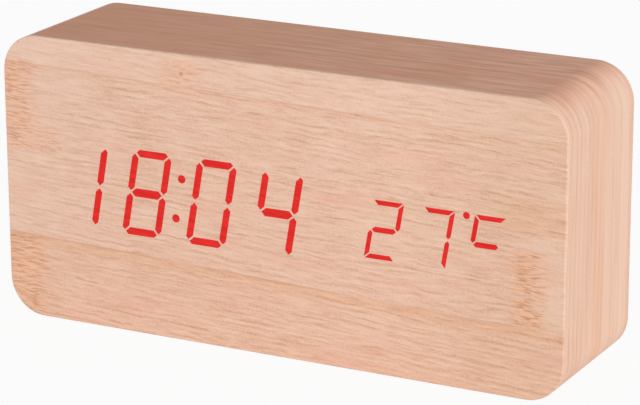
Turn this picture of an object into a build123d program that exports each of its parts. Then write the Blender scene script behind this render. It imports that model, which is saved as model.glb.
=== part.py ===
from build123d import *
import os
from math import cos, hypot, pi, radians, sin, sqrt, tan

# A block-shaped desk clock. Its fibreboard case is covered with thin wood-grain film, and lit numerals
# shine through the film of the front. Everything electrical sits in a pocket milled from the back,
# under a recessed plastic cover with three buttons, a power socket and a battery door.
# X runs along the width, Y from the front to the back, Z up. The origin is the middle of the base.
# All lengths are in millimetres.

# Case and its films
case_width = 150.0
case_height = 72.0
case_depth = 40.0
case_corner_radius = 9.5
film_thickness = 0.4
film_edge_bevel = 0.2
rim_width = 5.0
front_wall = 3.0
pocket_corner_radius = 4.0
corner_block = 11.0
ledge_width = 6.5
overrun = 1.0

# Numerals: height and width are between the centre lines of the segments
slant_degrees = 10.0
time_digit_count = 4
time_digit_height = 20.0
time_digit_width = 9.1
time_digit_pitch = 17.9
time_segment_width = 1.85
time_bar_width = 2.15
time_tip_gap = 0.35
time_corner_share = 0.2
colon_dot_diameter = 2.1
colon_dot_spacing = 10.1
temperature_digit_count = 3
temperature_digit_height = 13.3
temperature_digit_width = 6.8
temperature_digit_pitch = 13.0
temperature_segment_width = 1.2
temperature_bar_width = 1.35
temperature_tip_gap = 0.25
temperature_corner_share = 0.85
temperature_drop = 0.2
degree_dot_diameter = 1.75
degree_dot_shift = 0.4

# Display modules and the board that carries them
display_margin_share = 0.3376
display_depth = 8.0
display_top_margin = 2.6
display_window_clearance = 0.3
diffuser_thickness = 0.2
led_cavity = 0.8
led_length = 1.0
led_width = 0.6
led_height = 0.4
led_along_share = 0.33
display_board_thickness = 1.6
board_clearance = 0.5
display_screw_inset = 4.5
driver_chip_x = -12.0
resistor_row_x = 18.0

# Small screws with a pan head, which hold both boards
small_screw_head_diameter = 4.4
small_screw_head_height = 1.4
small_screw_head_bevel = 0.3
small_screw_diameter = 2.2
small_screw_length = 6.0
small_screw_tip = 0.8
screw_hole_clearance = 0.05
board_hole_clearance = 0.15
cross_recess_length = 2.4
cross_recess_width = 0.5
cross_recess_depth = 0.8

# Back cover and its four countersunk screws
cover_recess = 1.5
cover_thickness = 2.0
cover_clearance = 0.3
cover_edge_round = 0.4
cover_screw_inset = 5.5
cover_screw_head_diameter = 5.6
cover_screw_head_height = 1.3
cover_screw_diameter = 3.0
cover_screw_length = 12.0
cover_screw_tip = 1.5
cover_screw_recess_length = 3.2
cover_screw_recess_width = 0.6
cover_screw_recess_depth = 0.9
screw_pilot_spare = 1.0

# Cells and the bay that holds them
cell_count = 4
cell_diameter = 10.5
cell_length = 44.5
cell_nub_diameter = 3.8
cell_nub_height = 0.9
cell_pitch = 11.2
cell_clearance = 0.2
cell_edge_round = 0.6
bay_wall = 2.4
bay_floor = 1.5
bay_block_gap = 1.4
cell_rib_width = 0.5
cell_rib_height = 3.0
cell_rib_length_share = 0.5
contact_thickness = 0.4
contact_width = 9.0
contact_height = 9.0
contact_tab_width = 3.0
contact_tab_reach = 2.0
contact_slot_clearance = 0.15
spring_length = 4.0
spring_wire = 0.5
spring_base_diameter = 6.6
spring_top_diameter = 4.4
spring_turns = 4

# Battery door
door_thickness = 1.6
door_seat = 1.2
door_gap = 0.2
door_corner_radius = 0.5
door_tab_width = 6.0
door_tab_spread = 30.0
door_tab_reach = 1.2
door_tab_root = 1.6
door_tab_thickness = 1.0
door_tab_play = 0.15
door_notch_play = 0.3
latch_width = 10.0
latch_thickness = 1.0
latch_length = 3.2
latch_setback = 0.6
latch_barb_reach = 0.4
latch_barb_height = 1.0
latch_barb_drop = 0.8
latch_lip_play = 0.2
latch_lip_depth = 0.6
finger_notch_radius = 6.0
finger_notch_depth = 1.2
grip_rib_count = 3
grip_rib_length = 12.0
grip_rib_width = 0.8
grip_rib_height = 0.3
grip_rib_pitch = 1.8
grip_rib_inset = 3.0

# Main board, carried by four bosses of the back cover
main_board_margin = 6.0
main_board_thickness = 1.6
main_board_bay_gap = 3.0
main_board_block_gap = 1.5
main_board_corner_radius = 1.0
boss_height = 7.5
boss_diameter = 6.0
boss_inset = 4.0

# Buttons and the switches behind them
button_pitch_share = 0.25
button_rise = 11.0
button_diameter = 6.5
button_clearance = 0.25
button_proud = 0.8
button_edge_round = 0.4
button_flange_diameter = 8.0
button_flange_thickness = 1.2
button_stem_diameter = 3.4
button_mark_size = 2.4
button_mark_height = 0.2
button_mark_line = 0.5
control_field_margin = 3.0
control_field_depth = 0.4
switch_size = 6.0
switch_height = 3.5
plunger_diameter = 3.4
plunger_proud = 1.5
plunger_depth = 1.2
plunger_clearance = 0.1
plunger_travel = 0.6

# Power socket, upright on the main board
socket_place_share = -0.3
socket_drop = 14.0
socket_width = 7.5
socket_height = 2.9
socket_corner = 1.0
socket_wall = 0.3
socket_floor = 1.0
socket_set_back = 0.5
socket_clearance = 0.3
socket_tongue_width = 3.8
socket_tongue_height = 0.7
socket_tongue_set_back = 0.6
socket_relief_width = 12.0
socket_relief_height = 8.0
socket_relief_radius = 2.0
socket_relief_depth = 1.0

# Sounder behind its ring of holes
sounder_place_share = 0.27
sounder_drop = 12.0
sounder_diameter = 12.0
sounder_height = 6.5
sounder_port_diameter = 2.5
sounder_port_depth = 1.0
sounder_edge_bevel = 0.5
sound_hole_count = 6
sound_hole_diameter = 1.4
sound_hole_circle = 7.0

# Microphone, temperature sensor and capacitor
microphone_place_share = -0.05
microphone_drop = 14.0
microphone_diameter = 6.0
microphone_height = 2.7
microphone_hole_diameter = 1.5
microphone_ring_wall = 1.2
microphone_ring_height = 2.4
microphone_clearance = 0.05
lead_diameter = 0.5
lead_spacing = 2.0
sensor_drop = 3.0
sensor_bead_diameter = 2.4
sensor_bead_height = 2.4
sensor_bead_gap = 0.4
sensor_bead_bevel = 0.5
vent_count = 3
vent_length = 6.0
vent_width = 1.2
vent_pitch = 2.2
capacitor_place_share = -0.26
capacitor_drop = 1.0
capacitor_diameter = 6.3
capacitor_height = 6.8
capacitor_bevel = 0.4

# Chips and passive parts
chip_length = 18.0
chip_width = 7.5
chip_height = 2.2
chip_stand_off = 0.1
chip_leg_count = 14
chip_leg_pitch = 1.27
chip_leg_width = 0.45
chip_leg_reach = 1.3
chip_leg_foot = 0.2
controller_rise = 9.5
crystal_place_share = -0.33
crystal_drop = 13.5
crystal_length = 6.0
crystal_diameter = 2.0
passive_length = 2.0
passive_width = 1.2
passive_height = 0.6
passive_pitch = 3.4
passive_count = 5
passive_place_share = -0.38

# Coin cell that keeps the time when the power fails
coin_cell_place_share = 0.14
coin_cell_drop = 9.5
coin_cell_diameter = 20.0
coin_cell_thickness = 3.2
coin_cell_edge_bevel = 0.4
coin_holder_floor = 1.0
coin_holder_wall = 1.0
coin_holder_clearance = 0.2
coin_holder_rim = 2.0
coin_clip_width = 5.0
coin_clip_thickness = 0.4

# Ribbon cable and battery wires
ribbon_place_share = 0.155
ribbon_ways = 10
ribbon_pitch = 1.0
ribbon_wire_diameter = 1.1
ribbon_display_rise = 12.0
ribbon_edge_inset = 2.5
ribbon_bend_share = 0.45
wire_diameter = 1.2
wire_drop_share = 0.45
wire_board_inset = 7.0
wire_bend_share = 0.45

# Levels along Y, from the front to the back
front_y = -case_depth / 2
back_y = case_depth / 2
board_front_y = front_y + film_thickness
board_back_y = back_y - film_thickness
pocket_floor_y = board_front_y + front_wall
display_front_y = board_front_y + diffuser_thickness
display_board_y = display_front_y + display_depth
display_board_back_y = display_board_y + display_board_thickness
cover_outer_y = back_y - cover_recess
cover_inner_y = cover_outer_y - cover_thickness
door_inner_y = cover_outer_y - door_thickness
bay_floor_y = door_inner_y - cell_diameter - 2 * cell_clearance
bay_outer_y = bay_floor_y - bay_floor
cell_axis_y = bay_floor_y + cell_clearance + cell_diameter / 2
main_board_back_y = cover_inner_y - boss_height
main_board_front_y = main_board_back_y - main_board_thickness

# Places across the width and the height
middle_z = case_height / 2
pocket_half_width = case_width / 2 - rim_width
pocket_half_height = case_height / 2 - rim_width
pocket_low_z = rim_width
block_x = pocket_half_width - corner_block
block_z = pocket_half_height - corner_block
bay_length = cell_length + spring_length + 2 * contact_thickness
bay_left_x = -block_x + bay_block_gap + bay_wall
bay_right_x = bay_left_x + bay_length
bay_middle_x = (bay_left_x + bay_right_x) / 2
bay_half_height = cell_count * cell_pitch / 2
bay_low_z = middle_z - bay_half_height
bay_high_z = middle_z + bay_half_height
main_board_left_x = bay_right_x + bay_wall + main_board_bay_gap
main_board_right_x = block_x - main_board_block_gap
main_board_width = main_board_right_x - main_board_left_x
main_board_x = (main_board_left_x + main_board_right_x) / 2
main_board_height = 2 * (pocket_half_height - main_board_margin)
time_display_width = time_digit_count * time_digit_pitch
temperature_display_width = temperature_digit_count * temperature_digit_pitch
display_side_margin = display_margin_share * (case_width - time_display_width - temperature_display_width)
time_display_x = display_side_margin + time_display_width / 2 - case_width / 2
temperature_display_x = case_width / 2 - display_side_margin - temperature_display_width / 2
temperature_middle_z = middle_z - temperature_drop
display_board_width = 2 * (pocket_half_width - board_clearance)
display_board_height = 2 * (block_z - board_clearance)
display_screw_x = pocket_half_width - ledge_width / 2
display_screw_z = display_board_height / 2 - display_screw_inset
cover_screw_x = pocket_half_width - cover_screw_inset
cover_screw_z = pocket_half_height - cover_screw_inset
boss_x = main_board_width / 2 - boss_inset
boss_z = main_board_height / 2 - boss_inset
door_low_z = bay_low_z - door_seat + door_gap
door_top_z = bay_high_z + door_seat - door_gap
door_pivot_y = cover_outer_y - door_thickness / 2
door_pivot_z = door_low_z + door_thickness / 2
button_pitch = button_pitch_share * main_board_width
button_z = middle_z + button_rise
button_xs = {
    "set": main_board_x + button_pitch,
    "up": main_board_x,
    "down": main_board_x - button_pitch,
}

# Which segments are lit, named a to g clockwise from the top bar, with g across the middle
segments_of_digit = {"0": "abcdef", "1": "bc", "2": "abged", "4": "fgbc", "7": "abc", "8": "abcdefg"}
time_shown = ["1", "8", "0", "4"]
temperature_shown = ["2", "7"]
degree_mark_segments = "afg"


# Shapes drawn in the plane of the front, where local x is X and local y is Z
def slab(outline, low_y, high_y):
    face_plane = Plane(origin=(0, high_y, 0), x_dir=(1, 0, 0), z_dir=(0, -1, 0))
    return extrude(face_plane * outline, amount=high_y - low_y)


def rod(x, z, diameter, low_y, high_y):
    return slab(Pos(x, z) * Circle(diameter / 2), low_y, high_y)


def block(low, high):
    size = [high[i] - low[i] for i in range(3)]
    middle = [(high[i] + low[i]) / 2 for i in range(3)]
    return Pos(*middle) * Box(*size)


def turned(x, z, profile):
    lathe_plane = Plane(origin=(x, 0, z), x_dir=(1, 0, 0), z_dir=(0, 0, 1))
    face = lathe_plane * make_face(Polyline(*profile, close=True))
    return revolve(face, Axis((x, 0, z), (0, 1, 0)))


def rounded(x, z, width, height, radius):
    return Pos(x, z) * RectangleRounded(width, height, radius)


def case_outline(inset):
    width = case_width - 2 * inset
    height = case_height - 2 * inset
    return rounded(0, middle_z, width, height, case_corner_radius - inset)


def pocket_outline(inset):
    width = 2 * (pocket_half_width - inset)
    height = 2 * (pocket_half_height - inset)
    return rounded(0, middle_z, width, height, pocket_corner_radius - inset)


def group(solids):
    return Compound(children=[piece for solid in solids for piece in solid.solids()])


# Screws
def cross_recess(x, z, top_y, way, length, width, depth):
    near = top_y + way * depth
    low_y, high_y = min(top_y - way * overrun, near), max(top_y - way * overrun, near)
    across = slab(Pos(x, z) * Rectangle(length, width), low_y, high_y)
    upright = slab(Pos(x, z) * Rectangle(width, length), low_y, high_y)
    return across + upright


def small_screw(x, z, seat_y, way):
    top_y = seat_y - way * small_screw_head_height
    head_radius = small_screw_head_diameter / 2
    radius = small_screw_diameter / 2
    profile = [
        (0, top_y),
        (head_radius - small_screw_head_bevel, top_y),
        (head_radius, top_y + way * small_screw_head_bevel),
        (head_radius, seat_y),
        (radius, seat_y),
        (radius, seat_y + way * (small_screw_length - small_screw_tip)),
        (0, seat_y + way * small_screw_length),
    ]
    recess = cross_recess(x, z, top_y, way, cross_recess_length, cross_recess_width, cross_recess_depth)
    return turned(x, z, profile) - recess


def cover_screw_profile(clearance):
    head_radius = cover_screw_head_diameter / 2 + clearance
    radius = cover_screw_diameter / 2 + clearance
    return head_radius, radius


def cover_screw(x, z):
    head_radius, radius = cover_screw_profile(0)
    profile = [
        (0, cover_outer_y),
        (head_radius, cover_outer_y),
        (radius, cover_outer_y - cover_screw_head_height),
        (radius, cover_outer_y - cover_screw_length + cover_screw_tip),
        (0, cover_outer_y - cover_screw_length),
    ]
    recess_sizes = (cover_screw_recess_length, cover_screw_recess_width, cover_screw_recess_depth)
    return turned(x, z, profile) - cross_recess(x, z, cover_outer_y, -1, *recess_sizes)


def cover_screw_hole(x, z):
    head_radius, radius = cover_screw_profile(screw_hole_clearance)
    profile = [
        (0, cover_outer_y + overrun),
        (head_radius, cover_outer_y + overrun),
        (head_radius, cover_outer_y),
        (radius, cover_outer_y - cover_screw_head_height),
        (radius, cover_inner_y - overrun),
        (0, cover_inner_y - overrun),
    ]
    return turned(x, z, profile)


def four_corners(x, reach_x, reach_z):
    return [(x + sx * reach_x, middle_z + sz * reach_z) for sx in (-1, 1) for sz in (-1, 1)]


cover_screw_places = four_corners(0, cover_screw_x, cover_screw_z)
display_screw_places = four_corners(0, display_screw_x, display_screw_z)
boss_places = four_corners(main_board_x, boss_x, boss_z)


# Seven-segment numerals
def lean(x, z, centre_z):
    return x + (z - centre_z) * tan(radians(slant_degrees)), z


def bar(centre_x, centre_z, level, half_width, width, tip_gap, corner, outward):
    """A level segment. outward is 1 on top, -1 at the bottom and 0 in the middle."""
    half = width / 2
    rise = corner * half * outward
    tip_x = half_width - tip_gap + corner * half * abs(outward)
    points = []
    for side in (-1, 1):
        inner = half_width - tip_gap - half
        outer = tip_x - (half - abs(rise))
        if outward >= 0:
            corners = [(inner, level - half), (tip_x, level + rise), (outer, level + half)]
        else:
            corners = [(outer, level - half), (tip_x, level + rise), (inner, level + half)]
        if side < 0:
            corners = corners[::-1]
        points += [lean(centre_x + side * x, centre_z + z, centre_z) for x, z in corners]
    return Polygon(*points[3:], *points[:3], align=None)


def post(centre_x, centre_z, side, up, half_width, half_height, width, tip_gap, corner):
    """An upright segment on one side, above or below the middle bar."""
    half = width / 2
    x = side * half_width
    middle = up * tip_gap
    tip = up * (half_height - tip_gap + corner * half)
    corners = [
        (x, middle),
        (x + side * half, middle + up * half),
        (x + side * half, tip - up * (half - corner * half)),
        (x + side * corner * half, tip),
        (x - side * half, tip - up * (half + corner * half)),
        (x - side * half, middle + up * half),
    ]
    if side * up < 0:
        corners = corners[::-1]
    return Polygon(*[lean(centre_x + px, centre_z + pz, centre_z) for px, pz in corners], align=None)


def digit(centre_x, centre_z, names, sizes):
    width, height, line, middle_line, tip_gap, corner = sizes
    half_width, half_height = width / 2, height / 2
    levels = {"a": (half_height, line, 1), "g": (0, middle_line, 0), "d": (-half_height, line, -1)}
    sides = {"b": (1, 1), "c": (1, -1), "e": (-1, -1), "f": (-1, 1)}
    shapes = []
    for name in names:
        if name in levels:
            level, thick, outward = levels[name]
            shapes.append(bar(centre_x, centre_z, level, half_width, thick, tip_gap, corner, outward))
        else:
            side, up = sides[name]
            shapes.append(
                post(centre_x, centre_z, side, up, half_width, half_height, line, tip_gap, corner)
            )
    return shapes


def dot(x, z, centre_z, diameter):
    return Pos(*lean(x, z, centre_z)) * Circle(diameter / 2)


time_sizes = (
    time_digit_width,
    time_digit_height,
    time_segment_width,
    time_bar_width,
    time_tip_gap,
    time_corner_share,
)
temperature_sizes = (
    temperature_digit_width,
    temperature_digit_height,
    temperature_segment_width,
    temperature_bar_width,
    temperature_tip_gap,
    temperature_corner_share,
)


def digit_xs(x, pitch, count):
    return [x + (i - (count - 1) / 2) * pitch for i in range(count)]


time_digit_xs = digit_xs(time_display_x, time_digit_pitch, time_digit_count)
temperature_digit_xs = digit_xs(temperature_display_x, temperature_digit_pitch, temperature_digit_count)
colon = [
    dot(time_display_x, middle_z + side * colon_dot_spacing / 2, middle_z, colon_dot_diameter)
    for side in (-1, 1)
]
degree_dot = dot(
    temperature_display_x + temperature_digit_pitch / 2 + degree_dot_shift,
    temperature_middle_z + temperature_digit_height / 2,
    temperature_middle_z,
    degree_dot_diameter,
)


def time_segments(names_of_digit):
    shapes = list(colon)
    for x, names in zip(time_digit_xs, names_of_digit):
        shapes += digit(x, middle_z, names, time_sizes)
    return shapes


def temperature_segments(names_of_digit):
    shapes = [degree_dot]
    for x, names in zip(temperature_digit_xs, names_of_digit):
        shapes += digit(x, temperature_middle_z, names, temperature_sizes)
    return shapes


every_segment = "abcdefg"
time_lit = time_segments([segments_of_digit[n] for n in time_shown])
time_wells = time_segments([every_segment] * len(time_digit_xs))
temperature_names = [segments_of_digit[n] for n in temperature_shown] + [degree_mark_segments]
temperature_lit = temperature_segments(temperature_names)
temperature_wells = temperature_segments([every_segment] * len(temperature_digit_xs))


# Films of the case
def front_film():
    film = slab(case_outline(0) - time_lit - temperature_lit, front_y, board_front_y)
    edges = film.faces().sort_by(Axis.Y)[0].outer_wire().edges()
    return chamfer(edges, min(film_edge_bevel, film_thickness / 2))


def wrap_film():
    return slab(case_outline(0) - case_outline(film_thickness), board_front_y, board_back_y)


def rear_film():
    film = slab(case_outline(0) - pocket_outline(0), board_back_y, back_y)
    edges = film.faces().sort_by(Axis.Y)[-1].outer_wire().edges()
    return chamfer(edges, min(film_edge_bevel, film_thickness / 2))


def light_windows(lit):
    return group([slab(shape, front_y, board_front_y) for shape in lit])


# Fibreboard case, milled from the back
def display_box(x, z, width, height):
    return Pos(x, z) * Rectangle(width, height)


def display_height(digit_height, line):
    return digit_height + line + 2 * display_top_margin


time_display_height = display_height(time_digit_height, time_segment_width)
temperature_display_height = display_height(temperature_digit_height, temperature_segment_width)


def display_windows():
    spare = 2 * display_window_clearance
    windows = [
        display_box(time_display_x, middle_z, time_display_width + spare, time_display_height + spare),
        display_box(
            temperature_display_x,
            temperature_middle_z,
            temperature_display_width + spare,
            temperature_display_height + spare,
        ),
    ]
    return [slab(window, board_front_y - overrun, display_board_y) for window in windows]


def case_frame():
    body = slab(case_outline(film_thickness), board_front_y, board_back_y)
    pocket = slab(pocket_outline(0), pocket_floor_y, board_back_y + overrun)
    low_y = pocket_floor_y - overrun
    blocks = []
    for sx in (-1, 1):
        for sz in (-1, 1):
            near = (sx * block_x, middle_z + sz * block_z)
            far = (sx * (pocket_half_width + overrun), middle_z + sz * (pocket_half_height + overrun))
            low = (min(near[0], far[0]), low_y, min(near[1], far[1]))
            high = (max(near[0], far[0]), cover_inner_y, max(near[1], far[1]))
            blocks.append(block(low, high))
        near_x = sx * (pocket_half_width - ledge_width)
        far_x = sx * (pocket_half_width + overrun)
        low = (min(near_x, far_x), low_y, -overrun)
        high = (max(near_x, far_x), display_board_y, case_height + overrun)
        blocks.append(block(low, high))
    frame = body - (pocket - blocks)
    pilots = [
        rod(
            x,
            z,
            cover_screw_diameter + 2 * screw_hole_clearance,
            cover_outer_y - cover_screw_length - screw_pilot_spare,
            cover_inner_y + overrun,
        )
        for x, z in cover_screw_places
    ]
    pilots += [
        rod(
            x,
            z,
            small_screw_diameter + 2 * screw_hole_clearance,
            display_board_back_y - small_screw_length - screw_hole_clearance,
            display_board_y + overrun,
        )
        for x, z in display_screw_places
    ]
    return frame - display_windows() - pilots


# Display modules
def diffuser(x, z, width, height):
    return slab(display_box(x, z, width, height), board_front_y, display_front_y)


def display_housing(x, z, width, height, wells):
    return slab(display_box(x, z, width, height) - wells, display_front_y, display_board_y)


def segment_fills(wells):
    return group([slab(shape, display_front_y, display_board_y - led_cavity) for shape in wells])


def led_places():
    places = []
    for x in time_digit_xs:
        half_width, half_height = time_digit_width / 2, time_digit_height / 2
        for step in (-1, 1):
            along = step * half_width * led_along_share
            rise = (half_height + step * half_height * led_along_share) / 2
            places += [(x + along, level, middle_z) for level in (-half_height, 0, half_height)]
            places += [(x + side * half_width, way * rise, middle_z) for side in (-1, 1) for way in (-1, 1)]
    places += [(time_display_x, side * colon_dot_spacing / 2, middle_z) for side in (-1, 1)]
    for x in temperature_digit_xs:
        half_width, half_height = temperature_digit_width / 2, temperature_digit_height / 2
        places += [(x, level, temperature_middle_z) for level in (-half_height, 0, half_height)]
        places += [
            (x + side * half_width, way * half_height / 2, temperature_middle_z)
            for side in (-1, 1)
            for way in (-1, 1)
        ]
    dot_x = temperature_display_x + temperature_digit_pitch / 2 + degree_dot_shift
    places.append((dot_x, temperature_digit_height / 2, temperature_middle_z))
    return [lean(x, centre + rise, centre) for x, rise, centre in places]


def display_leds():
    chips = []
    for x, z in led_places():
        low = (x - led_width / 2, display_board_y - led_height, z - led_width / 2)
        high = (x + led_width / 2, display_board_y, z + led_width / 2)
        chips.append(block(low, high))
    return group(chips)


def display_board():
    outline = Pos(0, middle_z) * Rectangle(display_board_width, display_board_height)
    hole = small_screw_diameter + 2 * board_hole_clearance
    holes = [Pos(x, z) * Circle(hole / 2) for x, z in display_screw_places]
    return slab(outline - holes, display_board_y, display_board_back_y)


def display_board_screws():
    return group([small_screw(x, z, display_board_back_y, -1) for x, z in display_screw_places])


def main_board_screws():
    return group([small_screw(x, z, main_board_front_y, 1) for x, z in boss_places])


# Chips and small parts. way is 1 when they stand towards the back and -1 towards the front
def facing(low, high, face_y, way, low_rise, high_rise):
    near, far = face_y + way * low_rise, face_y + way * high_rise
    return block((low[0], min(near, far), low[1]), (high[0], max(near, far), high[1]))


def leaded_chip(x, z, face_y, way, level):
    """A chip with a row of legs on both long sides. level turns the rows from along Z to along X."""

    def bit(ends, sides, low_rise, high_rise):
        low, high = (min(ends), sides[0]), (max(ends), sides[1])
        if level:
            low, high = low[::-1], high[::-1]
        low, high = (x + low[0], z + low[1]), (x + high[0], z + high[1])
        return facing(low, high, face_y, way, low_rise, high_rise)

    half_width, half_length = chip_width / 2, chip_length / 2
    top = chip_stand_off + chip_height
    body = bit((-half_width, half_width), (-half_length, half_length), chip_stand_off, top)
    legs = []
    bend = chip_stand_off + chip_height / 2
    for i in range(chip_leg_count):
        along = (i - (chip_leg_count - 1) / 2) * chip_leg_pitch
        sides = (along - chip_leg_width / 2, along + chip_leg_width / 2)
        for side in (-1, 1):
            root = side * half_width
            knee = side * (half_width + chip_leg_reach / 2)
            toe = side * (half_width + chip_leg_reach)
            heel = knee - side * chip_leg_foot
            legs.append(bit((root, knee), sides, bend, bend + chip_leg_foot))
            legs.append(bit((heel, knee), sides, 0, bend + chip_leg_foot))
            legs.append(bit((heel, toe), sides, 0, chip_leg_foot))
    return body + legs


def chip_row(x, z, face_y, way):
    parts = []
    half_length, half_width = passive_length / 2, passive_width / 2
    for i in range(passive_count):
        middle = z + (i - (passive_count - 1) / 2) * passive_pitch
        low, high = (x - half_length, middle - half_width), (x + half_length, middle + half_width)
        parts.append(facing(low, high, face_y, way, 0, passive_height))
    return group(parts)


def board_place(share):
    return main_board_x + share * main_board_width


def clock_crystal():
    middle_y = main_board_front_y - crystal_diameter / 2
    middle = (board_place(crystal_place_share), middle_y, middle_z - crystal_drop)
    return Pos(*middle) * Cylinder(crystal_diameter / 2, crystal_length)


coin_x = board_place(coin_cell_place_share)
coin_z = middle_z - coin_cell_drop
coin_seat_y = main_board_front_y - coin_holder_floor


def coin_cell():
    radius = coin_cell_diameter / 2
    far_y = coin_seat_y - coin_cell_thickness
    profile = [
        (0, coin_seat_y),
        (radius - coin_cell_edge_bevel, coin_seat_y),
        (radius, coin_seat_y - coin_cell_edge_bevel),
        (radius, far_y),
        (0, far_y),
    ]
    return turned(coin_x, coin_z, profile)


def coin_cell_holder():
    inner = coin_cell_diameter / 2 + coin_holder_clearance
    outer = inner + coin_holder_wall
    profile = [
        (0, main_board_front_y),
        (outer, main_board_front_y),
        (outer, coin_seat_y - coin_holder_rim),
        (inner, coin_seat_y - coin_holder_rim),
        (inner, coin_seat_y),
        (0, coin_seat_y),
    ]
    return turned(coin_x, coin_z, profile)


def coin_cell_clip():
    reach = coin_cell_diameter / 2 + coin_holder_clearance + coin_holder_wall + coin_holder_clearance
    outer = reach + coin_clip_thickness
    seat_rise = coin_holder_floor + coin_cell_thickness
    top_rise = seat_rise + coin_clip_thickness
    half = coin_clip_width / 2
    low, high = (coin_x - half, coin_z - outer), (coin_x + half, coin_z + outer)
    strap = facing(low, high, main_board_front_y, -1, seat_rise, top_rise)
    legs = []
    for side in (-1, 1):
        ends = sorted((coin_z + side * reach, coin_z + side * outer))
        legs.append(
            facing((coin_x - half, ends[0]), (coin_x + half, ends[1]), main_board_front_y, -1, 0, top_rise)
        )
    return strap + legs


# Main board and what stands on its rear face
def main_board():
    outline = rounded(main_board_x, middle_z, main_board_width, main_board_height, main_board_corner_radius)
    hole = small_screw_diameter + 2 * board_hole_clearance
    holes = [Pos(x, z) * Circle(hole / 2) for x, z in boss_places]
    return slab(outline - holes, main_board_front_y, main_board_back_y)


switch_top_y = main_board_back_y + switch_height
plunger_top_y = switch_top_y + plunger_proud


def switch_body(x):
    body = slab(Pos(x, button_z) * Rectangle(switch_size, switch_size), main_board_back_y, switch_top_y)
    low_y = switch_top_y - plunger_depth - plunger_travel
    bore = rod(x, button_z, plunger_diameter + 2 * plunger_clearance, low_y, switch_top_y + overrun)
    return body - bore


def switch_plunger(x):
    return rod(x, button_z, plunger_diameter, switch_top_y - plunger_depth, plunger_top_y)


socket_x = board_place(socket_place_share)
socket_z = middle_z - socket_drop
socket_mouth_y = cover_outer_y - socket_set_back


def socket_outline(inset):
    half_width = socket_width / 2 - inset
    half_height = socket_height / 2 - inset
    corner = socket_corner
    points = [
        (socket_x - half_width + corner, socket_z - half_height),
        (socket_x + half_width - corner, socket_z - half_height),
        (socket_x + half_width, socket_z - half_height + corner),
        (socket_x + half_width, socket_z + half_height),
        (socket_x - half_width, socket_z + half_height),
        (socket_x - half_width, socket_z - half_height + corner),
    ]
    return Polygon(*points, align=None)


def socket_shell():
    shell = slab(socket_outline(0), main_board_back_y, socket_mouth_y)
    hollow = slab(socket_outline(socket_wall), main_board_back_y + socket_floor, socket_mouth_y + overrun)
    return shell - hollow


def socket_tongue():
    outline = Pos(socket_x, socket_z) * Rectangle(socket_tongue_width, socket_tongue_height)
    return slab(outline, main_board_back_y + socket_floor, socket_mouth_y - socket_tongue_set_back)


sounder_x = board_place(sounder_place_share)
sounder_z = middle_z - sounder_drop


def sounder():
    radius = sounder_diameter / 2
    port = sounder_port_diameter / 2
    top_y = main_board_back_y + sounder_height
    profile = [
        (0, main_board_back_y),
        (radius, main_board_back_y),
        (radius, top_y - sounder_edge_bevel),
        (radius - sounder_edge_bevel, top_y),
        (port, top_y),
        (port, top_y - sounder_port_depth),
        (0, top_y - sounder_port_depth),
    ]
    return turned(sounder_x, sounder_z, profile)


microphone_x = board_place(microphone_place_share)
microphone_z = middle_z - microphone_drop
sensor_z = middle_z - sensor_drop


def microphone():
    low_y = cover_inner_y - microphone_height
    return rod(microphone_x, microphone_z, microphone_diameter, low_y, cover_inner_y)


def lead_pair(x, z, high_y):
    xs = [x + side * lead_spacing / 2 for side in (-1, 1)]
    return [rod(lead_x, z, lead_diameter, main_board_back_y, high_y) for lead_x in xs]


def microphone_leads():
    return group(lead_pair(microphone_x, microphone_z, cover_inner_y - microphone_height))


def temperature_sensor():
    radius = sensor_bead_diameter / 2
    top_y = cover_inner_y - sensor_bead_gap
    low_y = top_y - sensor_bead_height
    profile = [
        (0, low_y),
        (radius - sensor_bead_bevel, low_y),
        (radius, low_y + sensor_bead_bevel),
        (radius, top_y - sensor_bead_bevel),
        (radius - sensor_bead_bevel, top_y),
        (0, top_y),
    ]
    bead = turned(main_board_x, sensor_z, profile)
    return bead + lead_pair(main_board_x, sensor_z, low_y + sensor_bead_bevel)


def power_capacitor():
    radius = capacitor_diameter / 2
    top_y = main_board_back_y + capacitor_height
    profile = [
        (0, main_board_back_y),
        (radius, main_board_back_y),
        (radius, top_y - capacitor_bevel),
        (radius - capacitor_bevel, top_y),
        (0, top_y),
    ]
    return turned(board_place(capacitor_place_share), middle_z - capacitor_drop, profile)


# Back cover with its battery bay
cell_zs = [bay_low_z + (i + 0.5) * cell_pitch for i in range(cell_count)]


def tab_xs():
    return [bay_middle_x + side * door_tab_spread / 2 for side in (-1, 1)]


def bay_outline(grow):
    return Pos(bay_middle_x, middle_z) * Rectangle(bay_length + 2 * grow, 2 * (bay_half_height + grow))


def door_outline(grow):
    width = bay_length + 2 * (door_seat + grow)
    height = 2 * (bay_half_height + door_seat + grow)
    return rounded(bay_middle_x, middle_z, width, height, door_corner_radius + grow)


def door_notches():
    tab_inner_y = cover_inner_y - door_tab_play - door_tab_thickness
    sweep = hypot(door_pivot_y - tab_inner_y, door_pivot_z - door_low_z + door_tab_reach)
    low_y = door_pivot_y - sweep - door_notch_play
    half = door_tab_width / 2 + door_notch_play
    edge_z = bay_low_z - door_seat
    cuts = []
    for x in tab_xs():
        low = (x - half, low_y, bay_low_z - bay_wall - overrun)
        cuts.append(block(low, (x + half, cover_inner_y, bay_low_z + overrun)))
        cuts.append(block((x - half, low_y, edge_z), (x + half, cover_outer_y, bay_low_z + overrun)))
    half = latch_width / 2 + door_notch_play
    lip_z = door_top_z - latch_setback + latch_barb_reach + latch_lip_play
    lip_y = door_inner_y - latch_barb_drop + latch_lip_play
    low = (bay_middle_x - half, door_inner_y - latch_length - door_notch_play, bay_high_z - overrun)
    cuts.append(block(low, (bay_middle_x + half, cover_outer_y, lip_z)))
    cuts.append(block(low, (bay_middle_x + half, lip_y, lip_z + latch_lip_depth)))
    return cuts


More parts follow.
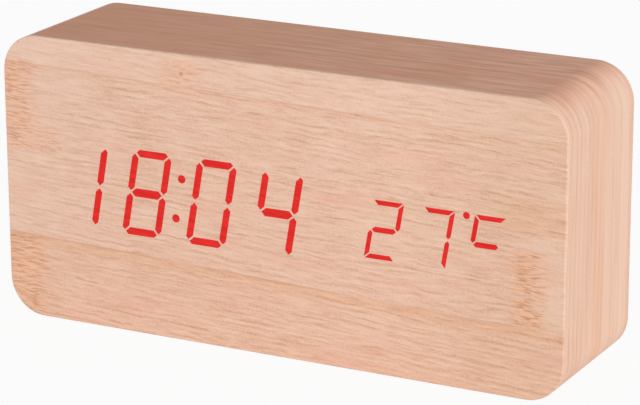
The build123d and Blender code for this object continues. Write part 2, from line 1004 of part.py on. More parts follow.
def terminal_slots():
    low_x = bay_right_x - contact_thickness - contact_slot_clearance
    half = contact_tab_width / 2 + contact_slot_clearance
    return [
        block((low_x, bay_outer_y - overrun, z - half), (bay_right_x, bay_floor_y + overrun, z + half))
        for z in (cell_zs[0], cell_zs[-1])
    ]


def cell_ribs():
    half = cell_rib_width / 2
    low_x, high_x = bay_left_x + contact_thickness, bay_right_x - contact_thickness
    middle = (low_x + high_x) / 2
    reach = cell_length * cell_rib_length_share / 2
    ribs = []
    for i in range(1, cell_count):
        z = bay_low_z + i * cell_pitch
        low = (middle - reach, bay_floor_y - bay_floor / 2, z - half)
        ribs.append(block(low, (middle + reach, bay_floor_y + cell_rib_height, z + half)))
    return ribs


def control_field():
    width = 2 * button_pitch + button_diameter + 2 * control_field_margin
    height = button_diameter + 2 * control_field_margin
    field = rounded(main_board_x, button_z, width, height, height / 2 - overrun)
    return slab(field, cover_outer_y - control_field_depth, cover_outer_y + overrun)


def cover_openings():
    hole = button_diameter + 2 * button_clearance
    through = [Pos(x, button_z) * Circle(hole / 2) for x in button_xs.values()]
    through.append(Pos(microphone_x, microphone_z) * Circle(microphone_hole_diameter / 2))
    sound = Pos(sounder_x, sounder_z) * PolarLocations(sound_hole_circle / 2, sound_hole_count)
    through += [place * Circle(sound_hole_diameter / 2) for place in sound]
    through.append(Pos(sounder_x, sounder_z) * Circle(sound_hole_diameter / 2))
    for i in range(vent_count):
        z = sensor_z + (i - (vent_count - 1) / 2) * vent_pitch
        through.append(Pos(main_board_x, z) * SlotOverall(vent_length, vent_width))
    through.append(socket_outline(-socket_clearance))
    relief = rounded(socket_x, socket_z, socket_relief_width, socket_relief_height, socket_relief_radius)
    cuts = [slab(shape, cover_inner_y - overrun, cover_outer_y + overrun) for shape in through]
    cuts.append(slab(relief, cover_outer_y - socket_relief_depth, cover_outer_y + overrun))
    return cuts


def back_cover():
    plate = slab(pocket_outline(cover_clearance), cover_inner_y, cover_outer_y)
    edges = plate.faces().sort_by(Axis.Y)[-1].outer_wire().edges()
    plate = fillet(edges, min(cover_edge_round, cover_thickness / 2))
    bosses = [rod(x, z, boss_diameter, main_board_back_y, cover_inner_y) for x, z in boss_places]
    ring = microphone_diameter + 2 * (microphone_clearance + microphone_ring_wall)
    low_y = cover_inner_y - microphone_ring_height
    bosses.append(rod(microphone_x, microphone_z, ring, low_y, cover_inner_y))
    bay = slab(bay_outline(bay_wall), bay_outer_y, cover_outer_y - door_thickness / 2)
    body = plate + bosses + bay
    cuts = [slab(bay_outline(0), bay_floor_y, cover_outer_y + overrun)]
    cuts.append(slab(door_outline(0), door_inner_y, cover_outer_y + overrun))
    notch = Pos(bay_middle_x, bay_high_z + door_seat) * Circle(finger_notch_radius)
    cuts.append(slab(notch, cover_outer_y - finger_notch_depth, cover_outer_y + overrun))
    seat = microphone_diameter + 2 * microphone_clearance
    cuts.append(rod(microphone_x, microphone_z, seat, low_y - overrun, cover_inner_y))
    pilot = small_screw_diameter + 2 * screw_hole_clearance
    reach = main_board_front_y + small_screw_length + screw_hole_clearance
    cuts += [rod(x, z, pilot, main_board_back_y - overrun, reach) for x, z in boss_places]
    cuts += [cover_screw_hole(x, z) for x, z in cover_screw_places]
    cuts += door_notches() + terminal_slots() + cover_openings() + [control_field()]
    return body - cuts + cell_ribs()


def back_cover_screws():
    return group([cover_screw(x, z) for x, z in cover_screw_places])


# Battery door: it rolls on its round lower edge, held by two tabs under the cover, and snaps in above
def battery_door():
    width = bay_length + 2 * (door_seat - door_gap)
    panel = slab(door_outline(-door_gap), door_inner_y, cover_outer_y)
    side_x = width / 2 + overrun
    low = (bay_middle_x - side_x, door_inner_y - overrun, door_low_z - overrun)
    panel = panel - block(low, (bay_middle_x + side_x, cover_outer_y + overrun, door_pivot_z))
    edge_place = Pos(bay_middle_x, door_pivot_y, door_pivot_z)
    panel = panel + edge_place * Rot(0, 90, 0) * Cylinder(door_thickness / 2, width)
    tab_outer_y = cover_inner_y - door_tab_play
    tab_inner_y = tab_outer_y - door_tab_thickness
    half = door_tab_width / 2
    additions = []
    for x in tab_xs():
        low = (x - half, tab_inner_y, door_low_z - door_tab_reach)
        additions.append(block(low, (x + half, tab_outer_y, door_pivot_z + door_tab_root)))
        low = (x - half, tab_inner_y, door_pivot_z - door_tab_root / 2)
        additions.append(block(low, (x + half, door_pivot_y, door_pivot_z + door_tab_root)))
    half = latch_width / 2
    tongue_z = door_top_z - latch_setback
    low = (bay_middle_x - half, door_inner_y - latch_length, tongue_z - latch_thickness)
    additions.append(block(low, (bay_middle_x + half, door_inner_y, tongue_z)))
    barb_high_y = door_inner_y - latch_barb_drop
    low = (bay_middle_x - half, barb_high_y - latch_barb_height, tongue_z)
    additions.append(block(low, (bay_middle_x + half, barb_high_y, tongue_z + latch_barb_reach)))
    for i in range(grip_rib_count):
        z = door_top_z - grip_rib_inset - i * grip_rib_pitch
        low = (bay_middle_x - grip_rib_length / 2, cover_outer_y, z - grip_rib_width)
        high = (bay_middle_x + grip_rib_length / 2, cover_outer_y + grip_rib_height, z)
        additions.append(block(low, high))
    return panel + additions


# Cells, contacts and springs. Even cells point their nub to the left, odd ones to the right
def nub_way(i):
    return 1 if i % 2 else -1


def cell(i):
    way = nub_way(i)
    radius = cell_diameter / 2
    nub = cell_nub_diameter / 2
    if way > 0:
        nub_x = bay_right_x - contact_thickness
    else:
        nub_x = bay_left_x + contact_thickness
    shoulder = nub_x - way * cell_nub_height
    base = nub_x - way * cell_length
    profile = [
        (base, 0),
        (base, radius - cell_edge_round),
        (base + way * cell_edge_round, radius),
        (shoulder - way * cell_edge_round, radius),
        (shoulder, radius - cell_edge_round),
        (shoulder, nub),
        (nub_x, nub),
        (nub_x, 0),
    ]
    lathe_plane = Plane(origin=(0, cell_axis_y, cell_zs[i]), x_dir=(1, 0, 0), z_dir=(0, 0, 1))
    face = lathe_plane * make_face(Polyline(*profile, close=True))
    return revolve(face, Axis((0, cell_axis_y, cell_zs[i]), (1, 0, 0)))


def contact_plate(side, low_cell, high_cell):
    edge = bay_right_x if side > 0 else bay_left_x
    ends = sorted((edge, edge - side * contact_thickness))
    low = (ends[0], bay_floor_y, cell_zs[low_cell] - contact_width / 2)
    return block(low, (ends[1], bay_floor_y + contact_height, cell_zs[high_cell] + contact_width / 2))


def terminal_contact(i):
    low_x = bay_right_x - contact_thickness
    half = contact_tab_width / 2
    low = (low_x, bay_outer_y - contact_tab_reach, cell_zs[i] - half)
    return contact_plate(1, i, i) + block(low, (bay_right_x, bay_floor_y, cell_zs[i] + half))


def bridge_contacts():
    left = [contact_plate(-1, i, i + 1) for i in range(0, cell_count - 1, 2)]
    right = [contact_plate(1, i, i + 1) for i in range(1, cell_count - 1, 2)]
    return group(left + right)


def biarc(start, start_way, end, end_way):
    """Two arcs that leave one point and reach another in the given directions, tangent where they meet."""
    gap = end - start
    along = gap.dot(start_way + end_way)
    bend = 2 * (1 - start_way.dot(end_way))
    reach = (sqrt(along * along + bend * gap.dot(gap)) - along) / bend
    near, far = start + start_way * reach, end - end_way * reach
    meeting = (near + far) / 2
    return [TangentArc(start, meeting, tangent=start_way), TangentArc(meeting, end, tangent=far - near)]


def coil_point(i, turns):
    """A point of the conical coil between the contact plate and cell i, and its direction there."""
    way = nub_way(i)
    plate_x = bay_left_x + contact_thickness if way > 0 else bay_right_x - contact_thickness
    rise = (spring_length - spring_wire) / spring_turns
    taper = (spring_top_diameter - spring_base_diameter) / 2 / spring_turns
    radius = spring_base_diameter / 2 + taper * turns
    angle = 2 * pi * turns
    x = plate_x + way * (spring_wire / 2 + rise * turns)
    point = Vector(x, cell_axis_y + radius * cos(angle), cell_zs[i] + radius * sin(angle))
    dy = taper * cos(angle) - 2 * pi * radius * sin(angle)
    dz = taper * sin(angle) + 2 * pi * radius * cos(angle)
    return point, Vector(way * rise, dy, dz).normalized()


def spring(i):
    steps = [coil_point(i, k / 4) for k in range(4 * spring_turns + 1)]
    arcs = []
    for (start, start_way), (end, end_way) in zip(steps, steps[1:]):
        arcs += biarc(start, start_way, end, end_way)
    start, start_way = steps[0]
    return sweep(Plane(origin=start, z_dir=start_way) * Circle(spring_wire / 2), path=Wire(arcs))


def least_coil_gap():
    points = [coil_point(0, k / 24)[0] for k in range(24 * spring_turns + 1)]
    pairs = [(a, b) for k, a in enumerate(points) for b in points[k + 12 :]]
    return min((a - b).length for a, b in pairs) - spring_wire


# Ribbon cable and battery wires
def bent(points, share):
    """A path of straight runs joined by tangent arcs, each as large as the shorter run beside it allows."""
    runs = [(Vector(*b) - Vector(*a)) for a, b in zip(points, points[1:])]
    radii = []
    for before, after in zip(runs, runs[1:]):
        turn = radians(before.get_angle(after))
        radii.append(share * min(before.length, after.length) / tan(turn / 2))
    return FilletPolyline(*points, radius=radii)


def ribbon_cable():
    x = board_place(ribbon_place_share)
    middle_y = (display_board_back_y + main_board_front_y) / 2
    low_z = middle_z + ribbon_display_rise
    high_z = middle_z + main_board_height / 2 - ribbon_edge_inset
    points = [
        (x, display_board_back_y, low_z),
        (x, middle_y, low_z),
        (x, middle_y, high_z),
        (x, main_board_front_y, high_z),
    ]
    path = bent(points, ribbon_bend_share)
    start = Plane(origin=points[0], x_dir=(1, 0, 0), z_dir=(0, 1, 0))
    wires = [
        Pos((i - (ribbon_ways - 1) / 2) * ribbon_pitch, 0) * Circle(ribbon_wire_diameter / 2)
        for i in range(ribbon_ways)
    ]
    section = Sketch() + wires
    return sweep(start * section, path=path)


def battery_wire(i):
    z = cell_zs[i]
    tab_x = bay_right_x - contact_thickness / 2
    board_x = main_board_left_x + wire_board_inset
    tab_end_y = bay_outer_y - contact_tab_reach
    run_y = tab_end_y - wire_drop_share * (tab_end_y - display_board_back_y)
    points = [
        (tab_x, tab_end_y, z),
        (tab_x, run_y, z),
        (board_x, run_y, z),
        (board_x, main_board_front_y, z),
    ]
    path = bent(points, wire_bend_share)
    start = Plane(origin=points[0], x_dir=(1, 0, 0), z_dir=(0, -1, 0))
    return sweep(start * Circle(wire_diameter / 2), path=path)


# Buttons
def button_mark(name, x, low_y, high_y):
    half = button_mark_size / 2
    if name == "set":
        ring = Circle(half) - Circle(half - button_mark_line)
        return slab(Pos(x, button_z) * ring, low_y, high_y)
    way = 1 if name == "up" else -1
    points = [(x - half, button_z - way * half / 2), (x + half, button_z - way * half / 2)]
    points.append((x, button_z + way * half))
    if way < 0:
        points = points[::-1]
    return slab(Polygon(*points, align=None), low_y, high_y)


def button(name, x):
    top_y = cover_outer_y + button_proud
    cap = rod(x, button_z, button_diameter, cover_inner_y, top_y)
    rim = cap.faces().sort_by(Axis.Y)[-1].outer_wire().edges()
    cap = fillet(rim, min(button_edge_round, button_proud / 2))
    flange_y = cover_inner_y - button_flange_thickness
    flange = rod(x, button_z, button_flange_diameter, flange_y, cover_inner_y)
    stem = rod(x, button_z, button_stem_diameter, plunger_top_y, flange_y)
    return cap + flange + stem + button_mark(name, x, top_y, top_y + button_mark_height)


# Every piece under its name
pieces = {
    "front_film": front_film(),
    "wrap_film": wrap_film(),
    "rear_film": rear_film(),
    "case_frame": case_frame(),
    "time_light_windows": light_windows(time_lit),
    "temperature_light_windows": light_windows(temperature_lit),
    "time_diffuser": diffuser(time_display_x, middle_z, time_display_width, time_display_height),
    "temperature_diffuser": diffuser(
        temperature_display_x, temperature_middle_z, temperature_display_width, temperature_display_height
    ),
    "time_display_housing": display_housing(
        time_display_x, middle_z, time_display_width, time_display_height, time_wells
    ),
    "temperature_display_housing": display_housing(
        temperature_display_x,
        temperature_middle_z,
        temperature_display_width,
        temperature_display_height,
        temperature_wells,
    ),
    "time_segment_fills": segment_fills(time_wells),
    "temperature_segment_fills": segment_fills(temperature_wells),
    "display_leds": display_leds(),
    "display_board": display_board(),
    "display_board_screws": display_board_screws(),
    "display_driver_chip": leaded_chip(driver_chip_x, middle_z, display_board_back_y, 1, False),
    "display_board_resistors": chip_row(resistor_row_x, middle_z, display_board_back_y, 1),
    "main_board": main_board(),
    "main_board_screws": main_board_screws(),
    "controller_chip": leaded_chip(main_board_x, middle_z + controller_rise, main_board_front_y, -1, True),
    "clock_crystal": clock_crystal(),
    "main_board_passives": chip_row(board_place(passive_place_share), middle_z, main_board_front_y, -1),
    "coin_cell": coin_cell(),
    "coin_cell_holder": coin_cell_holder(),
    "coin_cell_clip": coin_cell_clip(),
    "power_capacitor": power_capacitor(),
    "sounder": sounder(),
    "microphone": microphone(),
    "microphone_leads": microphone_leads(),
    "temperature_sensor": temperature_sensor(),
    "power_socket_shell": socket_shell(),
    "power_socket_tongue": socket_tongue(),
    "back_cover": back_cover(),
    "back_cover_screws": back_cover_screws(),
    "battery_door": battery_door(),
    "negative_contact": terminal_contact(0),
    "positive_contact": terminal_contact(cell_count - 1),
    "bridge_contacts": bridge_contacts(),
    "contact_springs": group([spring(i) for i in range(cell_count)]),
    "negative_wire": battery_wire(0),
    "positive_wire": battery_wire(cell_count - 1),
    "ribbon_cable": ribbon_cable(),
}
for index in range(cell_count):
    pieces[f"cell_{index + 1}"] = cell(index)
for name, x in button_xs.items():
    pieces[f"{name}_button"] = button(name, x)
    pieces[f"{name}_switch"] = switch_body(x)
    pieces[f"{name}_switch_plunger"] = switch_plunger(x)

print("least gap between the turns of a contact spring", round(least_coil_gap(), 3))
os.makedirs("parts", exist_ok=True)
for name, piece in pieces.items():
    export_step(piece, f"parts/{name}.step")
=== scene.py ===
import math

import bmesh
import bpy
from mathutils import Matrix, Vector


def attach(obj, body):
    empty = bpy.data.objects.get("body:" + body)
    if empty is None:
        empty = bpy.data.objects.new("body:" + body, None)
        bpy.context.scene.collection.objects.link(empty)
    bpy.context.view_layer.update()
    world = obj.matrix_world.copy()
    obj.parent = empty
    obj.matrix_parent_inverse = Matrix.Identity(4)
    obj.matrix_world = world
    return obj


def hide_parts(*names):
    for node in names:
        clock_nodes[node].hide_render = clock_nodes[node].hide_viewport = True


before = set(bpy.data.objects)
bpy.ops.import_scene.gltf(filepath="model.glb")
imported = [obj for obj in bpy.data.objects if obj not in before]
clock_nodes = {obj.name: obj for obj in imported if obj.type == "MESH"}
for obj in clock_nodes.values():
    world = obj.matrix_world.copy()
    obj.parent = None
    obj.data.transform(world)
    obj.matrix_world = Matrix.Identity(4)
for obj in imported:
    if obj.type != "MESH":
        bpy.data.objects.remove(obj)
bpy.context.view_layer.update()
MM = 0.001


# Case: one block of fibreboard, with the pocket for everything electrical milled out of it from the back.
# Raw board shows in the pocket. It is pressed from brown fibres, with a few pale and dark ones among them.
def feed(tree, socket, value):
    """Sets an input to a plain value, or links it to another node."""
    value = value.socket if isinstance(value, Level) else value
    if isinstance(value, bpy.types.NodeSocket):
        tree.links.new(value, socket)
    else:
        socket.default_value = value


def add_node(tree, kind, settings=None, *values, output=0, **named):
    """Adds a node, feeds its inputs in their order and by name, and gives one of its outputs."""
    made = tree.nodes.new(kind)
    for label, value in (settings or {}).items():
        setattr(made, label, value)
    for socket, value in zip(made.inputs, values):
        feed(tree, socket, value)
    for label, value in named.items():
        feed(tree, made.inputs[label.replace("_", " ")], value)
    return made.outputs[output]


class Level:
    """A number that varies over a surface. Sums, products and steps of it become nodes of its paint."""

    def __init__(self, paint, socket):
        self.paint = paint
        self.socket = socket

    def math(self, operation, *others):
        return self.paint.level("ShaderNodeMath", {"operation": operation}, self, *others)

    def __add__(self, other):
        return self.math("ADD", other)

    def __sub__(self, other):
        return self.math("SUBTRACT", other)

    def __mul__(self, other):
        return self.math("MULTIPLY", other)

    def __abs__(self):
        return self.math("ABSOLUTE")

    def __rsub__(self, other):
        return self.math("MULTIPLY_ADD", -1.0, other)

    def over(self, low, high, smooth=True):
        """0 below low and 1 above high."""
        kind = {"interpolation_type": "SMOOTHSTEP" if smooth else "LINEAR"}
        return self.paint.level("ShaderNodeMapRange", kind, Value=self, From_Min=low, From_Max=high)

    def past(self, edge, soft):
        """0 up to an edge, and 1 from soft behind it on."""
        return self.over(edge, edge + soft)

    def within(self, low, high, soft):
        """1 between low and high, fading to 0 over soft on both sides."""
        return self.over(low - soft, low + soft) * (1.0 - self.over(high - soft, high + soft))

    def every(self, pitch):
        """Distance from the middle of the nearest of a row of places, pitch apart."""
        return self.math("PINGPONG", pitch / 2)


class Paint:
    """A material worked out from where, the place on the piece, as three levels in millimetres."""

    def __init__(self, name, roughness=0.5, metallic=0.0, specular=0.5):
        self.material = bpy.data.materials.new(name)
        self.material.use_nodes = True
        self.tree = self.material.node_tree
        self.shader = self.tree.nodes["Principled BSDF"]
        self.set("Roughness", roughness)
        self.set("Metallic", metallic)
        self.set("Specular IOR Level", specular)
        place = add_node(self.tree, "ShaderNodeTexCoord", output="Object")
        split = add_node(self.tree, "ShaderNodeSeparateXYZ", None, place).node
        self.where = [Level(self, out) * (1 / MM) for out in split.outputs]

    def set(self, name, value):
        feed(self.tree, self.shader.inputs[name], value)

    def level(self, *args, **named):
        """Adds a node that gives a number."""
        return Level(self, add_node(self.tree, *args, **named))

    def noise(self, x, y, z, detail=2.0, roughness=0.5):
        """Soft blotches about one unit across."""
        place = add_node(self.tree, "ShaderNodeCombineXYZ", None, x, y, z)
        return self.level("ShaderNodeTexNoise", Vector=place, Scale=1.0, Detail=detail, Roughness=roughness)

    def speckle(self, per_mm, detail=2.0, roughness=0.5):
        """Blotches of one size all over, per_mm of them to a millimetre."""
        return self.noise(*(level * per_mm for level in self.where), detail, roughness)

    def mix(self, share, first, second, blend="MIX"):
        made = self.tree.nodes.new("ShaderNodeMix")
        made.data_type = "RGBA"
        made.blend_type = blend
        for index, value in ((0, share), (6, first), (7, second)):
            feed(self.tree, made.inputs[index], value)
        return made.outputs[2]

    def tint(self, share, first, second):
        """Gives the surface a mix of two colours."""
        self.set("Base Color", self.mix(share, first, second))

    def part_metal(self, share, colour, metal):
        """Bare metal where share is 1, and the colour elsewhere."""
        self.tint(share, colour, metal)
        self.set("Metallic", share)

    def bump(self, height, depth_mm, strength=1.0):
        bent = add_node(self.tree, "ShaderNodeBump", Strength=strength, Distance=depth_mm * MM, Height=height)
        self.set("Normal", bent)

    def coat(self, *names):
        """Puts the paint on the named nodes of the clock."""
        for name in names:
            slots = clock_nodes[name].data.materials
            slots.clear()
            slots.append(self.material)


def screen(red, green, blue):
    """A colour as a screen shows it, from 0 to 255, as the light that a material gives back."""
    shares = [value / 255 for value in (red, green, blue)]
    return [s / 12.92 if s <= 0.04045 else ((s + 0.055) / 1.055) ** 2.4 for s in shares] + [1.0]


BOARD_FIBRE = screen(176, 142, 104)
BOARD_SHADE = screen(122, 92, 62)
FIBRES_PER_MM, FIBRE_SHARE = 1.6, 0.7
CLUMPS_PER_MM, CLUMP_SHARE = 0.12, 0.3
FIBRE_DEPTH = 0.08
fibreboard = Paint("fibreboard", roughness=0.92, specular=0.2)
fibres = fibreboard.speckle(FIBRES_PER_MM, 6.0, 0.7)
clumps = fibreboard.speckle(CLUMPS_PER_MM)
mottle = fibres * FIBRE_SHARE + clumps * CLUMP_SHARE
fibreboard.tint(mottle, BOARD_SHADE, BOARD_FIBRE)
fibreboard.bump(fibres, FIBRE_DEPTH)
fibreboard.coat("case_frame")

# Diffusers: a sheet of frosted white film over each display module, glued behind the wood film. It spreads
# the light of each segment, and its frosting is fine and even.
DIFFUSER_WHITE = screen(244, 243, 238)
DIFFUSER_SHADE = screen(226, 226, 222)
FROST_PER_MM = 5.0
FROST_DEPTH = 0.01
diffuser = Paint("frosted_sheet", roughness=0.75, specular=0.3)
frost = diffuser.speckle(FROST_PER_MM)
diffuser.tint(frost, DIFFUSER_SHADE, DIFFUSER_WHITE)
diffuser.bump(frost, FROST_DEPTH)
diffuser.coat("time_diffuser", "temperature_diffuser")

# Display housings: moulded grey plastic with a well for each segment, and resin cast in the wells. The
# moulding is matt, from a sparked tool. The resin is milky, with a few clouds.
HOUSING_GREY = screen(92, 92, 95)
HOUSING_PALE = screen(104, 104, 107)
SPARKS_PER_MM, SPARK_SHARE = 3.5, 0.65
FLOW_MARKS_PER_MM, FLOW_SHARE = 0.06, 0.35
SPARK_DEPTH = 0.02
SPARK_SWING = 0.3
RESIN_MILK = screen(238, 226, 220)
RESIN_CLOUD = screen(224, 206, 200)
RESIN_SCATTER = 0.3
CLOUDS_PER_MM = 0.6


def sparked(name, roughness, sparks_per_mm, depth_mm):
    """The fine grain that a sparked tool leaves on plastic. Gives its paint and its level."""
    paint = Paint(name, roughness=roughness)
    grain = paint.speckle(sparks_per_mm, 3.0, 0.6)
    paint.set("Roughness", grain * SPARK_SWING + (roughness - SPARK_SWING / 2))
    paint.bump(grain, depth_mm)
    return paint, grain


def moulded(name, body, pale, roughness=0.55, sparks_per_mm=SPARKS_PER_MM, depth_mm=SPARK_DEPTH):
    """Moulded plastic with its grain, and broad marks where it flowed."""
    paint, grain = sparked(name, roughness, sparks_per_mm, depth_mm)
    grain, flow = grain.over(0.35, 0.65, smooth=False), paint.speckle(FLOW_MARKS_PER_MM)
    shade = grain * SPARK_SHARE + flow.over(0.3, 0.7, smooth=False) * FLOW_SHARE
    paint.tint(shade, body, pale)
    return paint


housing = moulded("housing_plastic", HOUSING_GREY, HOUSING_PALE)
housing.coat("time_display_housing", "temperature_display_housing")
resin = Paint("segment_resin", roughness=0.25)
clouds = resin.speckle(CLOUDS_PER_MM, 4.0)
resin.tint(clouds, RESIN_CLOUD, RESIN_MILK)
resin.set("Subsurface Weight", RESIN_SCATTER)
resin.coat("time_segment_fills", "temperature_segment_fills")

# Display board: glass-fibre board under green lacquer, with its light-emitting chips on the front and the
# driver chip and resistors on the back. Tinned rings stand round the screw holes.
LACQUER_GREEN = screen(22, 92, 52)
LACQUER_OVER_COPPER = screen(38, 122, 66)
TINNED = screen(196, 196, 190)
TRACK_PITCH = 2.54
TRACK_HALF_WIDTH = 0.22
TRACK_EDGE = 0.06
TRACK_HEIGHT = 0.03
TRACK_BLOCKS_PER_MM = 0.11
PAD_RADIUS = 2.6
MIDDLE_Z = 36.0
DISPLAY_HOLES = (0.0, 66.75, 15.0)  # the holes' middle in x, and how far they are from it in x and z
DISPLAY_BOARD_FRONT_Y = -11.4
LENS_AMBER = screen(236, 196, 96)
LED_BODY = screen(232, 230, 222)
LED_BODY_RISE = 0.25
LED_SPECKS_PER_MM = 6.0


def off_axis(first, second, middle):
    """The squared distance from an axis, from the places along two ways and the axis's own two."""
    to_first, to_second = first - middle[0], second - middle[1]
    return to_first * to_first + to_second * to_second


def circuit_board(name, middle_x, ring_x, ring_rise):
    """Lacquered board: tracks run under the lacquer both ways, and tinned rings lie round four holes."""
    paint = Paint(name, roughness=0.38)
    x, y, z = paint.where
    level_tracks, upright_tracks = (
        place.every(TRACK_PITCH).past(TRACK_HALF_WIDTH, TRACK_EDGE) for place in (z, x)
    )
    level = paint.speckle(TRACK_BLOCKS_PER_MM, 1.0).over(0.49, 0.51)
    tracks = 1.0 - (level_tracks * level + upright_tracks * (1.0 - level))
    green = paint.mix(tracks, LACQUER_GREEN, LACQUER_OVER_COPPER)
    off_hole = off_axis(abs(x - middle_x), abs(z - MIDDLE_Z), (ring_x, ring_rise))
    ring = 1.0 - off_hole.over(PAD_RADIUS**2 - 0.3, PAD_RADIUS**2)
    paint.part_metal(ring, green, TINNED)
    paint.bump(tracks, TRACK_HEIGHT)
    return paint


circuit_board("display_board_lacquer", *DISPLAY_HOLES).coat("display_board")
led = Paint("led_chip", roughness=0.3)
x, y, z = led.where
lens = 1.0 - (y - DISPLAY_BOARD_FRONT_Y).past(-LED_BODY_RISE, 0.04)
specks = led.speckle(LED_SPECKS_PER_MM)
led.tint(lens, LED_BODY, led.mix(specks, LENS_AMBER, LED_BODY))
led.coat("display_leds")

# Chips: bodies of black moulded epoxy, with a rough top from the mould, over tinned copper legs. The same
# section paints the driver on the display board and the controller on the main board.
EPOXY_BLACK = screen(38, 38, 40)
EPOXY_DUST = screen(56, 56, 58)
EPOXY_GRAINS_PER_MM = 7.0
EPOXY_DEPTH = 0.015
LEG_TIN = screen(205, 205, 200)


def leaded_chip(name, node, middle, half_x, half_z):
    """Epoxy where the place is inside the body, tin on the legs outside it."""
    paint = Paint(name)
    x, y, z = paint.where
    outside_x = abs(x - middle[0]).past(half_x, 0.02)
    outside_z = abs(z - middle[1]).past(half_z, 0.02)
    leg = outside_x.math("MAXIMUM", outside_z)
    grain = paint.speckle(EPOXY_GRAINS_PER_MM, 3.0)
    paint.part_metal(leg, paint.mix(grain, EPOXY_BLACK, EPOXY_DUST), LEG_TIN)
    paint.set("Roughness", 0.62 - leg * 0.3)
    paint.bump(grain, EPOXY_DEPTH)
    paint.coat(node)


leaded_chip("driver_epoxy", "display_driver_chip", middle=(-12.0, MIDDLE_Z), half_x=3.75, half_z=9.0)
leaded_chip("controller_epoxy", "controller_chip", middle=(28.5, 45.5), half_x=9.0, half_z=3.75)

# Resistors and small capacitors: sintered ceramic bars with tinned ends, soldered flat to the boards in a
# row. Those on the display board are black, and those on the main board brown.
BAR_BLACK = screen(44, 40, 38)
BAR_BROWN = screen(120, 92, 66)
BAR_HALF_LENGTH = 1.0
BAR_END = 0.35
BAR_GRAINS_PER_MM = 9.0
BAR_DEPTH = 0.01


def dimmed(colour, share):
    """A colour with only a share of its light."""
    return [level * share for level in colour[:3]] + [1.0]


def soldered_bars(name, node, middle_x, body):
    """Bars that lie along x, with tin on both ends."""
    paint = Paint(name, roughness=0.45)
    x, y, z = paint.where
    end = abs(x - middle_x).past(BAR_HALF_LENGTH - BAR_END, 0.05)
    grit = paint.speckle(BAR_GRAINS_PER_MM, 3.0)
    paint.part_metal(end, paint.mix(grit, body, dimmed(body, 0.7)), LEG_TIN)
    paint.bump(grit, BAR_DEPTH)
    paint.coat(node)


soldered_bars("resistor_ceramic", "display_board_resistors", middle_x=18.0, body=BAR_BLACK)
soldered_bars("passive_ceramic", "main_board_passives", middle_x=6.46, body=BAR_BROWN)

# Small screws: steel with a zinc coat, a pan head and a cross recess. Four hold the display board on the
# case's ledges and four the main board on the cover's bosses. Each stops where it is tight, so the four
# recesses of a board stand different ways.
ZINC_PALE = screen(172, 172, 174)
ZINC_SHADE = screen(138, 138, 142)
ZINC_SPANGLES_PER_MM = 2.2
ZINC_DEPTH = 0.006
# Painted shade for the recess of each screw.
RECESS_PAINTED_SHADE = screen(52, 52, 54)
SCREW_SIDES = 40
TURN_BETWEEN_SCREWS = 0.35
PUNCH_TIP_SHARE = 0.45
PUNCH_ARM_TAPER = 0.4
PAN_HEAD = [(0, 1.4), (1.5, 1.36), (2.0, 1.15), (2.2, 0.8), (2.2, 0), (1.1, 0), (1.1, -5.2), (0, -6.0)]
PAN_RECESS = (1.6, 2.4, 0.5, 1.0)  # its top over the seat, its reach, the width of its arms, its depth
DISPLAY_BOARD_BACK_Y = -9.8
MAIN_BOARD_FRONT_Y = 7.4
MAIN_BOARD_HOLES = (28.5, 25.0, 21.0)


class Growth:
    """A Geometry Nodes tree with named sizes. It is worked out once on a start mesh and then taken off."""

    SOCKETS = {float: "NodeSocketFloat", int: "NodeSocketInt", bpy.types.Material: "NodeSocketMaterial"}

    def __init__(self, name, **sizes):
        self.tree = bpy.data.node_groups.new(name, "GeometryNodeTree")
        face = self.tree.interface
        face.new_socket("Geometry", in_out="INPUT", socket_type="NodeSocketGeometry")
        self.values = {}
        for label, value in sizes.items():
            label = label.replace("_", " ")
            made = face.new_socket(label, in_out="INPUT", socket_type=self.SOCKETS[type(value)])
            self.values[made.identifier] = value
        face.new_socket("Geometry", in_out="OUTPUT", socket_type="NodeSocketGeometry")
        self.sizes = self.tree.nodes.new("NodeGroupInput").outputs

    def node(self, *args, **named):
        return add_node(self.tree, *args, **named)

    def turned_to_way(self):
        """The turn that points Z along each start point's way."""
        stored = {"data_type": "FLOAT_VECTOR"}
        way = self.node("GeometryNodeInputNamedAttribute", stored, Name="way", output="Attribute")
        return self.node("FunctionNodeAlignRotationToVector", {"axis": "Z"}, Vector=way)

    def bent_row(self):
        """The row of start points as a curve with a round bend at each."""
        bend, steps = self.sizes["Bend"], self.sizes["Bend steps"]
        line = self.node("GeometryNodeMeshToCurve", Mesh=self.sizes["Geometry"])
        bent = self.node("GeometryNodeFilletCurve", {"mode": "POLY"}, Curve=line, Count=steps, Radius=bend)
        return self.node("GeometryNodeSetCurveNormal", {"mode": "MINIMUM_TWIST"}, Curve=bent)

    def swept(self, curve, section):
        """A body with the same section all along a curve."""
        return self.node("GeometryNodeCurveToMesh", Curve=curve, Profile_Curve=section, Fill_Caps=True)

    def copied(self, shape, turn):
        """A shape at each start point."""
        points = self.sizes["Geometry"]
        return self.node("GeometryNodeInstanceOnPoints", Points=points, Instance=shape, Rotation=turn)

    def piece(self, name, start, geometry, sharp_degrees=35):
        """Closes the tree with the material, and makes the result a plain mesh under the given name."""
        real = self.node("GeometryNodeRealizeInstances", Geometry=geometry)
        dressed = self.node("GeometryNodeSetMaterial", Geometry=real, Material=self.sizes["Finish"])
        feed(self.tree, self.tree.nodes.new("NodeGroupOutput").inputs[0], dressed)
        host = placed(name, start)
        grown = host.modifiers.new(name, "NODES")
        grown.node_group = self.tree
        for identifier, value in self.values.items():
            grown[identifier] = value
        result = worked_out(host)
        host.modifiers.remove(grown)
        host.data = result
        for polygon in result.polygons:
            polygon.use_smooth = True
        faced_outwards(result, sharp_degrees)
        return host


def placed(name, data):
    """A new object in the scene."""
    made = bpy.data.objects.new(name, data)
    bpy.context.scene.collection.objects.link(made)
    return made


